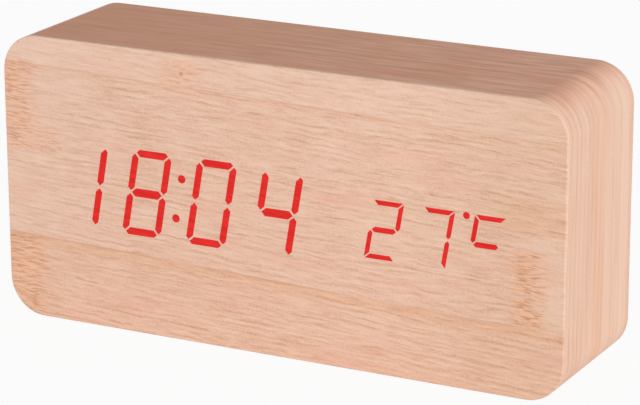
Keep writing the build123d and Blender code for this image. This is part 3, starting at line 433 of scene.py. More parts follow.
def worked_out(drawn):
    """The mesh that an object's modifiers or its letters make."""
    bpy.context.view_layer.update()
    graph = bpy.context.evaluated_depsgraph_get()
    return bpy.data.meshes.new_from_object(drawn.evaluated_get(graph), depsgraph=graph)


def mesh_of(name, points, edges=(), faces=()):
    """A mesh from points in millimetres."""
    mesh = bpy.data.meshes.new(name)
    mesh.from_pydata([[value * MM for value in point] for point in points], edges, faces)
    return mesh


def start_mesh(name, points, ways=()):
    """Points as the start of a Growth, in a row, or loose where each has its own way."""
    mesh = mesh_of(name, points, [] if ways else [(i, i + 1) for i in range(len(points) - 1)])
    if ways:
        mesh.attributes.new("way", "FLOAT_VECTOR", "POINT").data.foreach_set("vector", sum(ways, []))
    return mesh


def faced_outwards(mesh, sharp_degrees=35):
    """Welds a mesh, turns its faces outwards and marks its sharp edges."""
    shape = bmesh.new()
    shape.from_mesh(mesh)
    bmesh.ops.remove_doubles(shape, verts=shape.verts, dist=0.002 * MM)
    bmesh.ops.recalc_face_normals(shape, faces=shape.faces)
    for edge in shape.edges:
        edge.smooth = len(edge.link_faces) == 2 and edge.calc_face_angle(0) < math.radians(sharp_degrees)
    shape.to_mesh(mesh)
    shape.free()


def lathe(profile):
    """A closed body turned round Z from (radius, height) pairs in millimetres, from its top to its tip."""
    points, faces, rings = [], [], []
    for radius, height in profile:
        if radius == 0:
            rings.append([len(points)] * SCREW_SIDES)
            points.append((0.0, 0.0, height))
            continue
        rings.append(list(range(len(points), len(points) + SCREW_SIDES)))
        for i in range(SCREW_SIDES):
            angle = 2 * math.pi * i / SCREW_SIDES
            points.append((radius * math.cos(angle), radius * math.sin(angle), height))
    for upper, lower in zip(rings, rings[1:]):
        for i in range(SCREW_SIDES):
            j = (i + 1) % SCREW_SIDES
            faces.append(list(dict.fromkeys([upper[i], upper[j], lower[j], lower[i]])))
    mesh = mesh_of("turned", points, faces=faces)
    faced_outwards(mesh)
    return mesh


def cross_punch(top, reach, width, depth):
    """A cross-shaped punch that narrows towards its tip, which cuts a screw's recess."""
    points = []
    for height, share in ((top, 1.0), (top - depth, PUNCH_TIP_SHARE)):
        far, near = reach / 2 * share, width / 2 * (1.0 - PUNCH_ARM_TAPER * (1.0 - share))
        outline = [(far, -near), (far, near), (near, near)]
        for _ in range(4):
            points += [(a, b, height) for a, b in outline]
            outline = [(-b, a) for a, b in outline]
    count = len(points) // 2
    faces = [(i, (i + 1) % count, count + (i + 1) % count, count + i) for i in range(count)]
    faces += [tuple(range(count)), tuple(range(count, 2 * count))]
    mesh = mesh_of("punch", points, faces=faces)
    faced_outwards(mesh)
    return mesh


def zinc_plated(name, holes, top_y, way, recess):
    """Zinc-plated steel, with painted shade down in the recess of each screw."""
    top, reach, width, depth = recess
    paint = Paint(name, metallic=1.0)
    x, y, z = paint.where
    plating = paint.speckle(ZINC_SPANGLES_PER_MM, 4.0, 0.65)
    inside = (reach / 2) ** 2
    near_axis = 1.0 - off_axis(abs(x - holes[0]), abs(z - MIDDLE_Z), holes[1:]).past(inside, 0.2)
    # Paints shade down in each recess, from a little below the head's top to near the recess floor.
    recess_shade = near_axis * ((y - top_y) * -way).within(0.2, depth - 0.1, 0.15)
    colour = paint.mix(plating.over(0.3, 0.7, smooth=False), ZINC_SHADE, ZINC_PALE)
    paint.tint(recess_shade, colour, RECESS_PAINTED_SHADE)
    paint.set("Roughness", plating * 0.2 + 0.28)
    paint.bump(plating, ZINC_DEPTH)
    return paint.material


def screws(name, node, finish_name, holes, seat_y, way, profile, recess):
    """Four screws of one kind in their holes. way is 1 where the heads look to the back."""
    finish = zinc_plated(finish_name, holes, seat_y + way * profile[0][1], way, recess)
    drawn = [bpy.data.objects.new(mesh.name, mesh) for mesh in (lathe(profile), cross_punch(*recess))]
    growth = Growth(name, Finish=finish, Turn=TURN_BETWEEN_SCREWS)
    blank, punch = (growth.node("GeometryNodeObjectInfo", Object=shape, output="Geometry") for shape in drawn)
    cut = growth.node("GeometryNodeMeshBoolean", {"operation": "DIFFERENCE"}, Mesh_1=blank, Mesh_2=punch)
    number = growth.node("GeometryNodeInputIndex")
    turn = growth.node("ShaderNodeMath", {"operation": "MULTIPLY"}, number, growth.sizes["Turn"])
    spin = growth.node("FunctionNodeAxisAngleToRotation", Axis=(0.0, 0.0, 1.0), Angle=turn)
    facing = growth.turned_to_way()
    turned = growth.node("FunctionNodeRotateRotation", {"rotation_space": "LOCAL"}, facing, spin)
    middle_x, reach_x, reach_z = holes
    points = [(middle_x + sx * reach_x, seat_y, MIDDLE_Z + sz * reach_z) for sx in (-1, 1) for sz in (-1, 1)]
    start = start_mesh(name, points, [[0.0, float(way), 0.0]] * 4)
    made = growth.piece(name, start, growth.copied(cut, turned))
    for shape in drawn:
        bpy.data.objects.remove(shape)
    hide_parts(node)
    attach(made, "clock")


screws(
    "display_board_pan_screws", "display_board_screws", "display_screw_zinc",
    DISPLAY_HOLES, DISPLAY_BOARD_BACK_Y, 1, PAN_HEAD, PAN_RECESS,
)
screws(
    "main_board_pan_screws", "main_board_screws", "board_screw_zinc",
    MAIN_BOARD_HOLES, MAIN_BOARD_FRONT_Y, -1, PAN_HEAD, PAN_RECESS,
)

# Ribbon cable: ten sleeved wires moulded side by side, soldered to both boards. It leaves the display board
# straight back, bends upwards between the boards, and bends back again into the main board.
RIBBON_WIRES = 10
RIBBON_PITCH = 1.0
RIBBON_WIRE_RADIUS = 0.55
RIBBON_FIRST_X = 32.99
RIBBON_LOW_Z = 48.0
RIBBON_HIGH_Z = 58.5
RIBBON_MIDDLE_Y = -1.2
RIBBON_BEND = 3.87
SLEEVE_GREY = screen(182, 182, 186)
SLEEVE_SHADE = screen(160, 160, 165)
FIRST_WIRE_RED = screen(170, 40, 36)
BARE_END = 0.9
SLEEVE_MARKS_PER_MM = 1.5
SLEEVE_DEPTH = 0.01
SLEEVE_SIDES = 16
BEND_STEPS = 10


def sleeved(name, body, shade, low_y, high_y, red_below_x=None):
    """Soft sleeve with a satin skin, bare and tinned where it is soldered."""
    paint = Paint(name, roughness=0.42)
    x, y, z = paint.where
    skin = paint.speckle(SLEEVE_MARKS_PER_MM, 3.0)
    colour = paint.mix(skin, shade, body)
    if red_below_x is not None:
        colour = paint.mix(1.0 - x.past(red_below_x, 0.05), colour, FIRST_WIRE_RED)
    bare = 1.0 - y.within(low_y + BARE_END, high_y - BARE_END, 0.05)
    paint.part_metal(bare, colour, TINNED)
    paint.bump(skin, SLEEVE_DEPTH)
    return paint.material


def routed(name, node, points, bend, radius, finish, ways=1, pitch=1.0):
    """A cable of round wires side by side that runs through points, with a bend at each."""
    growth = Growth(
        name,
        Finish=finish,
        Bend=bend * MM,
        Bend_steps=BEND_STEPS,
        Radius=radius * MM,
        Pitch=pitch * MM,
        Ways=ways,
    )
    sizes = growth.sizes
    ring = growth.node("GeometryNodeCurvePrimitiveCircle", Resolution=SLEEVE_SIDES, Radius=sizes["Radius"])
    step = growth.node("ShaderNodeVectorMath", {"operation": "MULTIPLY"}, sizes["Pitch"], (1.0, 0.0, 0.0))
    places = growth.node("GeometryNodeMeshLine", Count=sizes["Ways"], Offset=step)
    rings = growth.node("GeometryNodeInstanceOnPoints", Points=places, Instance=ring)
    section = growth.node("GeometryNodeRealizeInstances", Geometry=rings)
    made = growth.piece(name, start_mesh(name, points), growth.swept(growth.bent_row(), section))
    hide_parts(node)
    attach(made, "clock")


ribbon_finish = sleeved(
    "ribbon_sleeve", SLEEVE_GREY, SLEEVE_SHADE, DISPLAY_BOARD_BACK_Y, MAIN_BOARD_FRONT_Y,
    red_below_x=RIBBON_FIRST_X + RIBBON_PITCH / 2,
)
ribbon_points = [
    (RIBBON_FIRST_X, DISPLAY_BOARD_BACK_Y, RIBBON_LOW_Z),
    (RIBBON_FIRST_X, RIBBON_MIDDLE_Y, RIBBON_LOW_Z),
    (RIBBON_FIRST_X, RIBBON_MIDDLE_Y, RIBBON_HIGH_Z),
    (RIBBON_FIRST_X, MAIN_BOARD_FRONT_Y, RIBBON_HIGH_Z),
]
routed(
    "ribbon_of_ten_wires", "ribbon_cable", ribbon_points, RIBBON_BEND, RIBBON_WIRE_RADIUS,
    ribbon_finish, RIBBON_WIRES, RIBBON_PITCH,
)

# Battery wires: a black and a red stranded wire in soft sleeves. Each is soldered to the tab of its contact
# plate, turns in the space behind the display board and ends in the main board.
TAB_X = -6.1
TAB_END_Y = 2.5
WIRE_RUN_Y = -3.035
WIRE_BOARD_X = 6.5
WIRE_RADIUS = 0.6
WIRE_BEND = 2.49
SLEEVED_TO_Y = -100.0  # so only the end at the board is bare
WIRES = {  # the height that it runs at, the colour of its sleeve, its slot
    "negative": (19.2, screen(34, 34, 36), "black_wire"),
    "positive": (52.8, screen(178, 32, 28), "red_wire"),
}
for pole, (wire_z, body, slot) in WIRES.items():
    finish = sleeved(pole + "_sleeve", body, dimmed(body, 0.8), SLEEVED_TO_Y, MAIN_BOARD_FRONT_Y)
    points = [
        (TAB_X, TAB_END_Y, wire_z),
        (TAB_X, WIRE_RUN_Y, wire_z),
        (WIRE_BOARD_X, WIRE_RUN_Y, wire_z),
        (WIRE_BOARD_X, MAIN_BOARD_FRONT_Y, wire_z),
    ]
    routed(pole + "_lead", pole + "_wire", points, WIRE_BEND, WIRE_RADIUS, finish)

# Main board: glass-fibre board under green lacquer, on four bosses of the back cover. It carries the
# controller, the parts that keep and tell the time, and everything that reaches through the cover.
circuit_board("main_board_lacquer", *MAIN_BOARD_HOLES).coat("main_board")

# Crystal: a drawn steel can with the quartz that beats the time sealed inside. It is laid flat on the board
# below the controller.
STAINS_PER_MM, STAIN_SHARE = 0.3, 0.4
DRAWN_SHARE = 0.6
DRAWN_SWING = 0.18
DRAWN_DEPTH = 0.004


def bright_metal(name, body, shade, roughness=0.3, brush=(6.0, 6.0, 0.6)):
    """Drawn or rolled sheet with fine lines in the direction where brush is smallest."""
    paint = Paint(name, metallic=1.0)
    lines = paint.noise(*(level * per_mm for level, per_mm in zip(paint.where, brush)), 3.0, 0.6)
    stain = paint.speckle(STAINS_PER_MM)
    paint.tint(lines * DRAWN_SHARE + stain * STAIN_SHARE, shade, body)
    paint.set("Roughness", lines * DRAWN_SWING + (roughness - DRAWN_SWING / 2))
    paint.bump(lines, DRAWN_DEPTH)
    return paint


bright_metal("crystal_can", screen(206, 206, 208), screen(168, 168, 172)).coat("clock_crystal")

# Coin cell: a rolled steel button that keeps the time, in a black moulded ring, under a nickel-plated clip
# that presses it down.
bright_metal(
    "coin_cell_steel", screen(210, 210, 212), screen(176, 176, 180), roughness=0.28, brush=(5.0, 5.0, 5.0)
).coat("coin_cell")
bright_metal(
    "clip_nickel", screen(204, 202, 194), screen(170, 168, 160), roughness=0.26, brush=(8.0, 8.0, 0.5)
).coat("coin_cell_clip")
moulded("holder_nylon", screen(40, 40, 41), screen(52, 52, 54), roughness=0.5).coat("coin_cell_holder")

# Capacitor: an aluminium can in a dark blue sleeve with a pale stripe on its minus side. Bare metal shows
# inside the rolled rim on top.
CAPACITOR_AXIS = (13.42, 35.0)
CAPACITOR_TOP_Y = 15.8
BARE_TOP_SQUARED = 6.5
STRIPE_FROM_AXIS = 2.2
CAN_BLUE = screen(40, 48, 92)
CAN_SCUFF = screen(52, 60, 106)
CAN_STRIPE = screen(206, 208, 214)
SCUFFS_PER_MM = 3.0
SCUFF_DEPTH = 0.01
can = Paint("capacitor_sleeve", roughness=0.35)
x, y, z = can.where
bare = 1.0 - off_axis(x, z, CAPACITOR_AXIS).past(BARE_TOP_SQUARED, 0.5)
top = y.over(CAPACITOR_TOP_Y - 0.1, CAPACITOR_TOP_Y - 0.05) * bare
stripe = (x - CAPACITOR_AXIS[0]).past(STRIPE_FROM_AXIS, 0.1)
scuffs = can.speckle(SCUFFS_PER_MM, 3.0)
sleeve = can.mix(stripe, can.mix(scuffs, CAN_BLUE, CAN_SCUFF), CAN_STRIPE)
can.part_metal(top, sleeve, LEG_TIN)
can.bump(scuffs, SCUFF_DEPTH)
can.coat("power_capacitor")

# Sounder: a black moulded can that buzzes for the alarm, soldered to the main board. Its one round port
# faces the ring of holes in the cover.
moulded("sounder_moulding", screen(30, 30, 31), screen(42, 42, 43), roughness=0.42).coat("sounder")

# Microphone: a drawn aluminium can with black felt behind the hole of the cover, on two tinned leads. It
# hears a clap and wakes the display.
MICROPHONE_AXIS = (25.6, 22.0)
MICROPHONE_FACE_Y = 16.4
FELT_RADIUS = 2.3
FELT_HAIRS_PER_MM = 8.0
FELT_DEPTH = 0.02
FELT_BLACK = screen(30, 30, 32)
CAN_PALE = screen(208, 208, 210)
CAN_SHADE = screen(176, 176, 178)
LEAD_SHADE = screen(164, 164, 158)
microphone = Paint("microphone_can")
x, y, z = microphone.where
in_port = 1.0 - off_axis(x, z, MICROPHONE_AXIS).past(FELT_RADIUS**2, 0.3)
felt = in_port * y.past(MICROPHONE_FACE_Y, 0.05)
nap = microphone.speckle(FELT_HAIRS_PER_MM, 4.0)
microphone.tint(felt, microphone.mix(nap, CAN_SHADE, CAN_PALE), FELT_BLACK)
microphone.set("Metallic", 1.0 - felt)
microphone.set("Roughness", felt * 0.6 + 0.3)
microphone.bump(nap, FELT_DEPTH)
microphone.coat("microphone")
bright_metal("lead_tin", TINNED, LEAD_SHADE, roughness=0.32).coat("microphone_leads")

# Temperature sensor: a dipped bead of dark epoxy on two tinned leads, soldered to the main board. It stands
# close behind the three vent slots, in the air of the room.
BEAD_LOW_Y = 13.65
BEAD_DARK = screen(34, 34, 38)
BEAD_PALE = screen(52, 52, 56)
RUNS_PER_MM = 2.5
RUN_DEPTH = 0.04
sensor = Paint("sensor_epoxy", roughness=0.3)
x, y, z = sensor.where
bead = y.past(BEAD_LOW_Y, 0.1)
runs = sensor.speckle(RUNS_PER_MM)
sensor.part_metal(1.0 - bead, sensor.mix(runs, BEAD_DARK, BEAD_PALE), LEG_TIN)
sensor.bump(runs, RUN_DEPTH)
sensor.coat("temperature_sensor")

# Power socket: a nickel-plated steel shell round a black tongue with five gilt strips. It stands upright on
# the main board, and its mouth lies in a relief of the cover.
SOCKET_X = 11.1
SOCKET_Z = 22.0
STRIP_PITCH = 0.65
STRIP_HALF_WIDTH = 0.16
STRIP_DEPTH = 0.3
GILT = screen(222, 184, 104)
TONGUE_BLACK = screen(34, 34, 35)
TONGUE_PALE = screen(44, 44, 46)
TONGUE_SPECKS_PER_MM = 7.0
bright_metal(
    "socket_nickel", screen(208, 207, 202), screen(172, 171, 166), roughness=0.24, brush=(0.8, 6.0, 6.0)
).coat("power_socket_shell")
tongue = Paint("socket_tongue")
x, y, z = tongue.where
strip = 1.0 - (x - SOCKET_X).every(STRIP_PITCH).past(STRIP_HALF_WIDTH, 0.04)
strip = strip * (SOCKET_Z - z).past(STRIP_DEPTH, 0.04)
specks = tongue.speckle(TONGUE_SPECKS_PER_MM)
tongue.part_metal(strip, tongue.mix(specks, TONGUE_BLACK, TONGUE_PALE), GILT)
tongue.coat("power_socket_tongue")

# Switches: black moulded bodies with a pale plunger each, soldered to the main board. One sits under each
# of the three buttons.
moulded("switch_moulding", screen(38, 38, 39), screen(50, 50, 52), roughness=0.48).coat(
    "set_switch", "up_switch", "down_switch"
)
moulded("plunger_moulding", screen(196, 190, 176), screen(208, 203, 190), roughness=0.45).coat(
    "set_switch_plunger", "up_switch_plunger", "down_switch_plunger"
)

# Back cover: a plate of black moulded plastic with the battery bay in one piece, set back behind the wooden
# rim. It has the fine grain of a sparked tool, and broad marks where the plastic flowed.
COVER_BLACK = screen(31, 31, 33)
COVER_PALE = screen(51, 51, 53)
COVER_GRAIN = (2.6, 0.07)  # sparks to a millimetre, and their depth
moulded("cover_plastic", COVER_BLACK, COVER_PALE, 0.58, *COVER_GRAIN).coat("back_cover")

# Cover screws: four steel screws with a zinc coat and countersunk heads, flush with the cover. They hold it
# in the recess of the case, and go into the blocks in its corners.
COUNTERSUNK = [(0, 0), (2.5, 0), (2.8, -0.12), (1.5, -1.3), (1.5, -10.5), (0, -12.0)]
COVER_RECESS = (0.3, 3.4, 0.75, 1.35)
COVER_HOLES = (0.0, 64.5, 25.5)
COVER_Y = 18.5
screws(
    "cover_countersunk_screws", "back_cover_screws", "cover_screw_zinc",
    COVER_HOLES, COVER_Y, 1, COUNTERSUNK, COVER_RECESS,
)

# Words on the cover: the name of each button, under it in the sunk field. They are printed in pale ink,
# which stands a hair's breadth over the plastic.
BUTTON_XS = {"set": 43.0, "up": 28.5, "down": 14.0}
FIELD_Y = 18.1
WORD_HEIGHT = 1.7
CAPITAL_SHARE = 0.7
WORD_Z = 41.35
INK_THICKNESS = 0.02
INK_LIFT = 0.001
INK_PALE = screen(206, 206, 204)
INK_SHADE = screen(176, 176, 175)
INK_SPECKS_PER_MM = 5.0
SEEN_FROM_BEHIND = Matrix(((-1, 0, 0, 0), (0, 0, 1, 0), (0, 1, 0, 0), (0, 0, 0, 1)))
ink = Paint("pale_ink", roughness=0.6)
ink.tint(ink.speckle(INK_SPECKS_PER_MM, 3.0), INK_SHADE, INK_PALE)
for name, button_x in BUTTON_XS.items():
    word = bpy.data.curves.new(name + "_word", "FONT")
    word.body = name.upper()
    word.size = WORD_HEIGHT * MM / CAPITAL_SHARE
    word.align_x = "CENTER"
    word.extrude = INK_THICKNESS / 2 * MM
    word.resolution_u = 3
    draft = placed(name + "_word_draft", word)
    mesh = worked_out(draft)
    bpy.data.objects.remove(draft)
    place = Vector((button_x, FIELD_Y + INK_THICKNESS / 2 + INK_LIFT, WORD_Z)) * MM
    mesh.transform(Matrix.Translation(place) @ SEEN_FROM_BEHIND)
    faced_outwards(mesh)
    mesh.materials.clear()
    mesh.materials.append(ink.material)
    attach(placed(name + "_word", mesh), "clock")

# Buttons: black moulded caps that stand a little out of the cover. The raised mark on each is rubbed with
# the same pale ink.
CAP_BLACK = screen(34, 34, 36)
CAP_PALE = screen(44, 44, 46)
CAP_GRAIN = (4.0, 0.012)
MARK_Y = 19.31
for name in BUTTON_XS:
    cap, _ = sparked(name + "_button_plastic", 0.46, *CAP_GRAIN)
    x, y, z = cap.where
    plain = cap.mix(cap.speckle(CAP_GRAIN[0], 3.0), CAP_BLACK, CAP_PALE)
    cap.tint(y.past(MARK_Y, 0.03), plain, INK_PALE)
    cap.coat(name + "_button")

# Battery door: the same black plastic as the cover, with three ribs for the thumb. It rolls on its round
# lower edge and snaps in under the upper edge of the bay.
moulded("door_plastic", COVER_BLACK, COVER_PALE, 0.56, *COVER_GRAIN).coat("battery_door")

# Contact plates: nickel-plated strip, pushed into the ends of the bay. Two have a tab that reaches through
# the floor of the bay to its wire.
bright_metal(
    "contact_nickel", screen(206, 204, 196), screen(170, 168, 160), roughness=0.26, brush=(6.0, 0.7, 6.0)
).coat("negative_contact", "positive_contact", "bridge_contacts")

# Contact springs: conical coils of nickel-plated wire, one against the flat end of each cell. The wide end
# of each stands on its plate and is welded there.
SPRING_WIRE = 0.5
SPRING_BASE_RADIUS = 3.3
SPRING_TOP_RADIUS = 2.2
SPRING_TURNS = 4.0
SPRING_LENGTH = 4.0
TURN_STEPS = 32
WIRE_SIDES = 12
PLATE_LEFT_X = -54.8
PLATE_RIGHT_X = -6.3
CELL_AXIS_Y = 11.45
CELLS = [(19.2, -1), (30.4, 1), (41.6, -1), (52.8, 1)]  # height, and the way from the spring to the nub in x
spring_nickel = bright_metal("spring_nickel", screen(206, 204, 198), screen(168, 166, 160), roughness=0.24)
growth = Growth(
    "contact_spring_coils",
    Finish=spring_nickel.material,
    Wire=SPRING_WIRE / 2 * MM,
    Base=SPRING_BASE_RADIUS * MM,
    Tip=SPRING_TOP_RADIUS * MM,
    Turns=SPRING_TURNS,
    Rise=(SPRING_LENGTH - SPRING_WIRE) * MM,
)
coil = growth.node(
    "GeometryNodeCurveSpiral",
    Resolution=TURN_STEPS,
    Rotations=growth.sizes["Turns"],
    Start_Radius=growth.sizes["Base"],
    End_Radius=growth.sizes["Tip"],
    Height=growth.sizes["Rise"],
)
wire = growth.node("GeometryNodeCurvePrimitiveCircle", Resolution=WIRE_SIDES, Radius=growth.sizes["Wire"])
coils = growth.copied(growth.swept(coil, wire), growth.turned_to_way())
spring_points = [
    ((PLATE_LEFT_X if way > 0 else PLATE_RIGHT_X) + way * SPRING_WIRE / 2, CELL_AXIS_Y, cell_z)
    for cell_z, way in CELLS
]
spring_start = start_mesh("wound_springs", spring_points, [[float(way), 0.0, 0.0] for _, way in CELLS])
springs = growth.piece("wound_springs", spring_start, coils, sharp_degrees=80)
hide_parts("contact_springs")
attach(springs, "clock")

# Cells: four steel cells in a printed sleeve, plain green with a pale band at the plus end and a plus sign.
# Bare steel shows at both ends, inside the rim of the sleeve.
SLEEVE_GREEN = screen(44, 92, 70)
SLEEVE_DEEP = screen(36, 80, 60)
BAND_PALE = screen(206, 208, 200)
BARE_STEEL = screen(204, 204, 206)
SLEEVE_RIM = 3.9
BAND_LENGTH = 9.0
PLUS_FROM_NUB = 5.2
PLUS_HALF_LENGTH = 1.3
PLUS_HALF_WIDTH = 0.3
WAVES_PER_MM = 0.5
WAVE_DEPTH = 0.02
for number, (cell_z, way) in enumerate(CELLS, 1):
    cell = Paint(f"cell_{number}_sleeve", roughness=0.32)
    x, y, z = cell.where
    from_nub = (x - (PLATE_RIGHT_X if way > 0 else PLATE_LEFT_X)) * (-way)
    steel = 1.0 - off_axis(y, z, (CELL_AXIS_Y, cell_z)).past(SLEEVE_RIM**2, 0.5)
    band = 1.0 - from_nub.past(BAND_LENGTH, 0.1)
    to_plus = (abs(from_nub - PLUS_FROM_NUB), abs(z - cell_z))
    long, short = (
        [1.0 - place.past(half, 0.06) for place in to_plus]
        for half in (PLUS_HALF_LENGTH, PLUS_HALF_WIDTH)
    )
    upright, level = short[0] * long[1], long[0] * short[1]
    plus = upright.math("MAXIMUM", level) * y.past(CELL_AXIS_Y, 0.1)
    waves = cell.speckle(WAVES_PER_MM)
    printed = cell.mix(band, cell.mix(waves, SLEEVE_DEEP, SLEEVE_GREEN), BAND_PALE)
    cell.part_metal(steel, cell.mix(plus, printed, SLEEVE_DEEP), BARE_STEEL)
    cell.bump(waves, WAVE_DEPTH)
    cell.coat(f"cell_{number}")

# Wood film: thin sheet printed and embossed as bamboo. Long wavy streaks run along strips that are glued
# edge to edge. One length of it is wrapped round the four sides, and its ends meet under the clock.
FILM_BODY = screen(229, 190, 167)
FILM_LINE = screen(206, 157, 130)
FILM_PALE = screen(240, 209, 189)
FILM_ROSE = screen(232, 176, 157)
FILM_CUT_EDGE_AND_HIGHLIGHT = screen(250, 226, 208)
SIDE_BAND = screen(230, 177, 144)
FILM_TOP = screen(254, 203, 175)
FILM_TOP_RED = screen(236, 168, 142)
FILM_TOP_LINE = screen(218, 156, 126)
FILM_SPECULAR = 0.02
RING_PITCH = 1.45
BOW_REACH = 3.0
RIPPLE_REACH = 1.6
WRAP_CORNER = 9.5
CORNER_STEPS = 24
WRAP_HALF_WIDTH = 75.0
WRAP_HEIGHT = 72.0
WRAP_FRONT_Y = -19.6
WRAP_BACK_Y = 19.6
FILM_THICKNESS = 0.4
SEAM_GAP = 0.08
LINE_PITCH = 2.4
LINED_YS = (-18.0, 3.0)
BROWN_YS = (-4.0, 3.0)
BAND_SOFT = 2.5
PALER_YS = (3.0, 7.0)
DARKER_YS = (14.0, 19.0)
TOP_DEPTH = 6.0
TOP_PAINTED_SHADE_XS = (75.0, -80.0)
EDGE_HIGHLIGHT_ZS = (20.0, 55.0)


def bamboo(paint, run, rise, seed, stretch=1.0, sway=1.0):
    """The streaks of bamboo, run being the way along them. Gives their level, their place and the colour."""

    def drawn(along_per_mm, across_per_mm, across, shift, detail=2.0):
        return paint.noise(run * (along_per_mm / stretch), across * across_per_mm, seed + shift, detail)

    bow = drawn(0.014, 0.05, rise, 0.0, 1.0)
    ripple = drawn(0.09, 0.30, rise, 5.0)
    height = rise + (bow - 0.5) * (BOW_REACH * sway) + (ripple - 0.5) * (RIPPLE_REACH * sway)
    fine = drawn(0.10, 1.15, height, 0.0, 1.0)
    hairs = drawn(0.30, 2.5, height, 11.0, 1.0)
    broad = drawn(0.018, 0.20, height, 23.0)
    blush = drawn(0.035, 0.22, height, 31.0)
    specks = paint.noise(run * 1.6, height * 2.2, seed + 43.0, 1.0)
    ring = 1.0 - (height + (hairs - 0.5) * 0.8).every(RING_PITCH).over(0.05, 0.38)
    ring = ring * drawn(0.06, 0.6, height, 53.0).over(0.4, 0.62)
    shade = (fine - 0.5) * 0.95 + (hairs - 0.5) * 0.75 + (broad - 0.5) * 0.2 + (specks - 0.5) * 0.6
    shade = shade - ring * 0.26
    colour = paint.mix(shade.over(-0.6, 0.0, smooth=False), FILM_LINE, FILM_BODY)
    colour = paint.mix(shade.over(0.0, 0.6, smooth=False), colour, FILM_PALE)
    colour = paint.mix(blush.over(0.52, 0.75) * 0.35, colour, FILM_ROSE)
    return fine * 0.6 + hairs * 0.4, height, colour


def satin(paint, streaks):
    """The finish of the film: satin, with the streaks pressed in a little."""
    paint.set("Roughness", streaks * 0.16 + 0.47)
    paint.bump(streaks, 0.02, 0.5)


side = Paint("side_wood_film", specular=FILM_SPECULAR)
x, y, z = side.where
along = side.level("ShaderNodeAttribute", {"attribute_name": "along"}, output="Fac") * (1 / MM)
streaks, height, colour = bamboo(side, along, y * 0.6, seed=40.0, stretch=4.0, sway=0.5)
bands = side.noise(along * 0.01, y * 0.16, 3.0)
blotches = side.noise(along * 0.05, y * 0.28, 9.0)
broken = side.noise(along * 0.03, y, 17.0)
flames = side.noise(along * 0.06, y * 0.45, 19.0, 4.0, 0.6)
lines = 1.0 - (y + (blotches - 0.5) * 1.2).every(LINE_PITCH).over(0.1, 0.5)
lines = lines * y.within(*LINED_YS, BAND_SOFT) * broken.over(0.3, 0.6)
colour = side.mix(lines * 0.42, colour, FILM_LINE)
colour = side.mix(y.within(*BROWN_YS, BAND_SOFT) * 0.5, colour, SIDE_BAND)
pale = bands.over(0.42, 0.62) * 0.4 + y.over(*PALER_YS) * 0.25 - y.over(*DARKER_YS) * 0.35
colour = side.mix(pale, colour, FILM_PALE)
on_top = z.over(WRAP_HEIGHT - TOP_DEPTH, WRAP_HEIGHT)
grain = streaks.over(0.34, 0.64) * 0.5 + flames.over(0.36, 0.62) * 0.5
top = side.mix(grain, FILM_TOP_LINE, FILM_TOP)
top = side.mix(blotches.over(0.5, 0.66) * 0.7, top, FILM_TOP_RED)
# Painted shade on the top of the film, deepening towards the left.
top = side.mix(x.over(*TOP_PAINTED_SHADE_XS, smooth=False) * 0.75, top, FILM_TOP_LINE)
colour = side.mix(on_top * 0.85, side.mix(0.22, colour, FILM_BODY), top)
# Along its front edge the film is paler: partly its own pale cut edge, partly a painted highlight that grows
# towards the top.
cut_edge_and_highlight = (1.0 - y.over(WRAP_FRONT_Y + 0.1, WRAP_FRONT_Y + 0.5)) * z.over(*EDGE_HIGHLIGHT_ZS)
colour = side.mix(cut_edge_and_highlight * 0.8, colour, FILM_CUT_EDGE_AND_HIGHLIGHT)
side.set("Base Color", colour)
satin(side, streaks)
growth = Growth(
    "wrapped_film",
    Finish=side.material,
    Bend=(WRAP_CORNER - FILM_THICKNESS / 2) * MM,
    Bend_steps=CORNER_STEPS,
    Width=(WRAP_BACK_Y - WRAP_FRONT_Y) * MM,
    Thickness=FILM_THICKNESS * MM,
)
marked = growth.node(
    "GeometryNodeStoreNamedAttribute",
    {"data_type": "FLOAT", "domain": "POINT"},
    Geometry=growth.bent_row(),
    Name="along",
    Value=growth.node("GeometryNodeSplineParameter", output="Length"),
)
section = growth.node(
    "GeometryNodeCurvePrimitiveQuadrilateral",
    {"mode": "RECTANGLE"},
    Width=growth.sizes["Width"],
    Height=growth.sizes["Thickness"],
)
inset = FILM_THICKNESS / 2
low, high, far = inset, WRAP_HEIGHT - inset, WRAP_HALF_WIDTH - inset
loop_points = [
    (SEAM_GAP / 2, 0.0, low),
    (far, 0.0, low),
    (far, 0.0, high),
    (-far, 0.0, high),
    (-far, 0.0, low),
    (-SEAM_GAP / 2, 0.0, low),
]
film_start = start_mesh("wrapped_wood_film", loop_points)
film_round = growth.piece("wrapped_wood_film", film_start, growth.swept(marked, section))
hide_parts("wrap_film")
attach(film_round, "clock")

# Rear film: a frame of the same film, glued on the rim behind and cut out round the cover. Its streaks run
# nearly level.
REAR_FALL = 0.02
rear = Paint("rear_wood_film", specular=FILM_SPECULAR)
x, y, z = rear.where
streaks, height, colour = bamboo(rear, x, z + x * REAR_FALL, seed=80.0, stretch=1.4)
rear.set("Base Color", colour)
satin(rear, streaks)
rear.coat("rear_film")

# Front film: three strips of the print in one sheet, glued over the whole front. The upper seam falls from
# left to right, the lower one too. Nodes of the stem cross it at both ends, and one knot lies near the top.
FILM_NODE = screen(237, 187, 157)
FILM_DASH = screen(190, 130, 92)
FILM_WARMTH = (0.97, 0.89, 0.79, 1.0)
RIGHT_END_PAINTED_SHADE = (0.944, 0.942, 0.920, 1.0)
RIGHT_SHADE_XS = (25.0, 62.0)
FAINT_SEAM_XS = (20.0, 62.0)
GRAIN_FALL = 0.046
UPPER_SEAM = (63.5, 0.020)  # its height in the middle, and its fall to the right
LOWER_SEAM = (19.0, 0.030)
SEAM_DARKNESS = (0.5, 0.65)
SEAM_GLOW = (-1.9, 0.0, 0.6)
SEAM_LINE = (-0.1, 0.1, 0.3)
UNDER_SEAM_FADE = (-4.5, -1.0)
LEFT_END_XS = (-40.0, -66.0)
UPPER_SEED, LOWER_SEED = 7.0, 15.0
RAGGED_REACH = 11.0
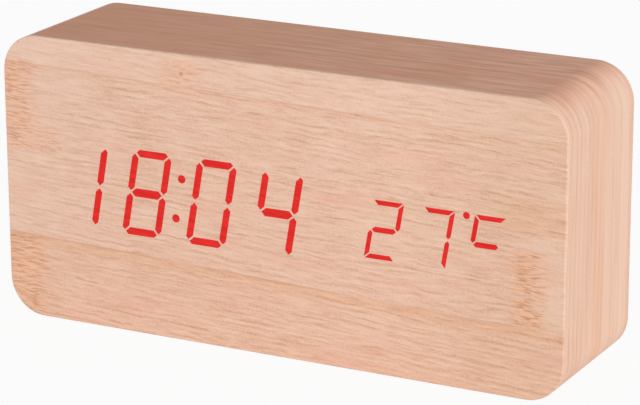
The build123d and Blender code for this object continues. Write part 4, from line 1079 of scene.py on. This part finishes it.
STEM_NODES = [  # seed, reach in x, reach in z, strength
    (1.0, -90.0, -67.0, 43.0, 65.5, 0.75),
    (2.0, -90.0, -64.5, 0.0, 20.8, 0.85),
    (3.0, 62.8, 69.4, 17.5, 36.0, 0.95),
    (4.0, -30.0, -20.0, 63.5, 70.5, 0.5),
    (5.0, -66.0, -60.0, 42.5, 49.0, 0.6),
]
PALE_END_X, PALE_END_ZS = 67.0, (18.0, 40.0)
WARM_END_X, WARM_END_ZS = 59.0, (40.0, 48.5)
KNOT = (-24.7, 67.2)
KNOT_RADIUS = 0.24


def node_band(paint, share, run, height, colour, seed):
    """A node of the stem: the print turns orange there, with short dark dashes."""
    dashes = paint.noise(run * 0.24, height * 2.3, seed, 2.0, 0.65)
    patches = paint.noise(run * 0.20, height * 0.45, seed + 7.0)
    colour = paint.mix(share * patches.over(0.25, 0.60), colour, FILM_NODE)
    return paint.mix(share * dashes.over(0.46, 0.62) * 0.72, colour, FILM_DASH)


front = Paint("front_wood_film", specular=FILM_SPECULAR)
x, y, z = front.where
over_upper, over_lower = (z + x * fall - seam_z for seam_z, fall in (UPPER_SEAM, LOWER_SEAM))
above = over_upper.over(-0.15, 0.15)
below = 1.0 - over_lower.over(-0.15, 0.15)
seed = above * UPPER_SEED + below * LOWER_SEED
streaks, height, colour = bamboo(front, x, z + x * GRAIN_FALL, seed)
under_seam = below * (over_lower.over(*UNDER_SEAM_FADE) * 0.35 + 0.18)
colour = front.mix(under_seam, colour, FILM_WARMTH, "MULTIPLY")
colour = front.mix(above * 0.2, colour, FILM_PALE)
colour = front.mix(x.over(*LEFT_END_XS) * over_lower.over(0.0, 0.6) * 0.2, colour, FILM_PALE)
ragged = front.noise(x * 0.3, z * 0.9, 3.0)
edge_x = x + (ragged - 0.5) * RAGGED_REACH
warm = edge_x.over(WARM_END_X - 6.0, WARM_END_X + 3.0) * z.within(*WARM_END_ZS, 0.25)
colour = front.mix(warm * 0.5, colour, FILM_WARMTH, "MULTIPLY")
pale = x.over(PALE_END_X - 0.4, PALE_END_X + 0.4) * z.within(*PALE_END_ZS, 0.3)
colour = front.mix(pale * 0.25, colour, FILM_PALE)
for seed, low_x, high_x, low_z, high_z, strength in STEM_NODES:
    share = edge_x.within(low_x, high_x, 3.0) * z.within(low_z, high_z, 0.8) * strength
    colour = node_band(front, share, x, height, colour, seed)
# Painted shade over the right end of the front, which evens out the stronger lamp light there.
colour = front.mix(x.over(*RIGHT_SHADE_XS), colour, RIGHT_END_PAINTED_SHADE, "MULTIPLY")
for over_seam, darkness in zip((over_upper, over_lower), SEAM_DARKNESS):
    broken = front.noise(x * 0.05, darkness * 10.0, 0.0)
    faint = (1.0 - x.over(*FAINT_SEAM_XS) * 0.6) * darkness
    glow = over_seam.within(*SEAM_GLOW) * (darkness * 0.6)
    colour = front.mix(glow, colour, FILM_WARMTH, "MULTIPLY")
    colour = front.mix(over_seam.within(*SEAM_LINE) * broken.over(0.35, 0.6) * faint, colour, FILM_DASH)
off_knot = off_axis(x, z, KNOT).math("SQRT")
colour = front.mix((1.0 - off_knot.over(KNOT_RADIUS, KNOT_RADIUS * 3)) * 0.6, colour, FILM_DASH)
front.set("Base Color", colour)
satin(front, streaks)
front.coat("front_film")

# Lit numerals: the light of the segments through the film. It is an even red, and the streaks of the film
# still show in it as slightly deeper lines.
LIT_RED = screen(209, 46, 43)
LIT_DEEP = screen(188, 36, 33)
UNLIT_RED = screen(118, 12, 12)
UNLIT_DEEP = screen(110, 10, 10)
lit = Paint("lit_red", specular=0.08)
x, y, z = lit.where
lines = lit.noise(x * 0.10, (z + x * GRAIN_FALL) * 0.85, 0.0, 3.0, 0.6)
lit.tint(lines, UNLIT_DEEP, UNLIT_RED)
lit.set("Emission Color", lit.mix(lines.over(0.3, 0.7), LIT_DEEP, LIT_RED))
lit.set("Emission Strength", 1.0)
lit.coat("time_light_windows", "temperature_light_windows")

# Floor and backdrop: one large white sheet, which keeps a soft shadow where the clock stands. The camera
# and what is glossy or clear see it nearly plain white.
FLOOR_REACH = 3000.0
FLOOR_WHITE = (0.85, 0.85, 0.85, 1.0)
FLOOR_GLOW_SHARE = 0.93
PLAIN_WHITE = (1.0, 1.0, 1.0, 1.0)


def glow_where_seen(tree, plain, glow_kind, share):
    """Mixes a plain white light into a surface, for camera, mirror and glass rays only."""
    glow = add_node(tree, glow_kind, Color=PLAIN_WHITE, Strength=1.0)
    rays = tree.nodes.new("ShaderNodeLightPath").outputs
    seen = rays["Is Camera Ray"]
    for other in (rays["Is Glossy Ray"], rays["Is Transmission Ray"]):
        seen = add_node(tree, "ShaderNodeMath", {"operation": "MAXIMUM"}, seen, other)
    seen = add_node(tree, "ShaderNodeMath", {"operation": "MULTIPLY"}, seen, share)
    return add_node(tree, "ShaderNodeMixShader", None, seen, plain, glow)


floor_corners = [(sx * FLOOR_REACH, sy * FLOOR_REACH, 0.0) for sx, sy in ((-1, -1), (1, -1), (1, 1), (-1, 1))]
floor = placed("floor", mesh_of("floor", floor_corners, faces=[(0, 1, 2, 3)]))
floor_finish = bpy.data.materials.new("floor_white")
floor_finish.use_nodes = True
tree = floor_finish.node_tree
tree.nodes.clear()
paper = add_node(tree, "ShaderNodeBsdfDiffuse", Color=FLOOR_WHITE)
seen_floor = glow_where_seen(tree, paper, "ShaderNodeEmission", FLOOR_GLOW_SHARE)
feed(tree, tree.nodes.new("ShaderNodeOutputMaterial").inputs["Surface"], seen_floor)
floor.data.materials.append(floor_finish)

# Light: an even pale room, a wide low lamp far off in front on the right, and weaker ones behind and on the
# left, so that no side of the clock lies in the dark.
ROOM_LEVEL = 0.36
LAMP_AIM = Vector((0.0, 0.0, 0.036))
LAMPS = {  # place and width in metres, and watts
    "front_lamp": ((1.85, -1.82, 0.42), 0.8, 57.0),
    "back_lamp": ((0.1, 2.4, 0.30), 0.55, 26.0),
    "left_lamp": ((-2.3, 0.3, 0.30), 0.55, 20.0),
}
world = bpy.data.worlds.new("studio")
bpy.context.scene.world = world
world.use_nodes = True
tree = world.node_tree
tree.nodes.clear()
room = add_node(tree, "ShaderNodeBackground", Color=PLAIN_WHITE, Strength=ROOM_LEVEL)
seen_room = glow_where_seen(tree, room, "ShaderNodeBackground", 1.0)
feed(tree, tree.nodes.new("ShaderNodeOutputWorld").inputs["Surface"], seen_room)
for name, (place, width, watts) in LAMPS.items():
    light = bpy.data.lights.new(name, "AREA")
    light.shape = "DISK"
    light.size = width
    light.energy = watts
    lamp = placed(name, light)
    lamp.location = place
    lamp.rotation_euler = (LAMP_AIM - Vector(place)).to_track_quat("-Z", "Y").to_euler()

# Camera: a long lens in front of the clock, to its right and a little above it. Its place and turn put the
# outline where the photograph has it.
AZIMUTH, ELEVATION, ROLL = (math.radians(angle) for angle in (27.502, 16.975, -0.21))
CAMERA_PLACE = Vector((0.319124, -0.609025, 0.243077))
FOCAL_LENGTH = 166.251
SENSOR_WIDTH = 36.0
level_reach = math.cos(ELEVATION)
backward = Vector((math.sin(AZIMUTH) * level_reach, -math.cos(AZIMUTH) * level_reach, math.sin(ELEVATION)))
rightward = (-backward).cross(Vector((0.0, 0.0, 1.0))).normalized()
upward = rightward.cross(-backward)
camera_x = rightward * math.cos(ROLL) + upward * math.sin(ROLL)
camera_y = upward * math.cos(ROLL) - rightward * math.sin(ROLL)
camera_data = bpy.data.cameras.new("camera")
camera_data.sensor_width = SENSOR_WIDTH
camera_data.lens = FOCAL_LENGTH
camera = placed("camera", camera_data)
turned = Matrix((camera_x, camera_y, backward)).transposed().to_4x4()
camera.matrix_world = Matrix.Translation(CAMERA_PLACE) @ turned
bpy.context.scene.camera = camera
bpy.context.scene.view_settings.view_transform = "Standard"
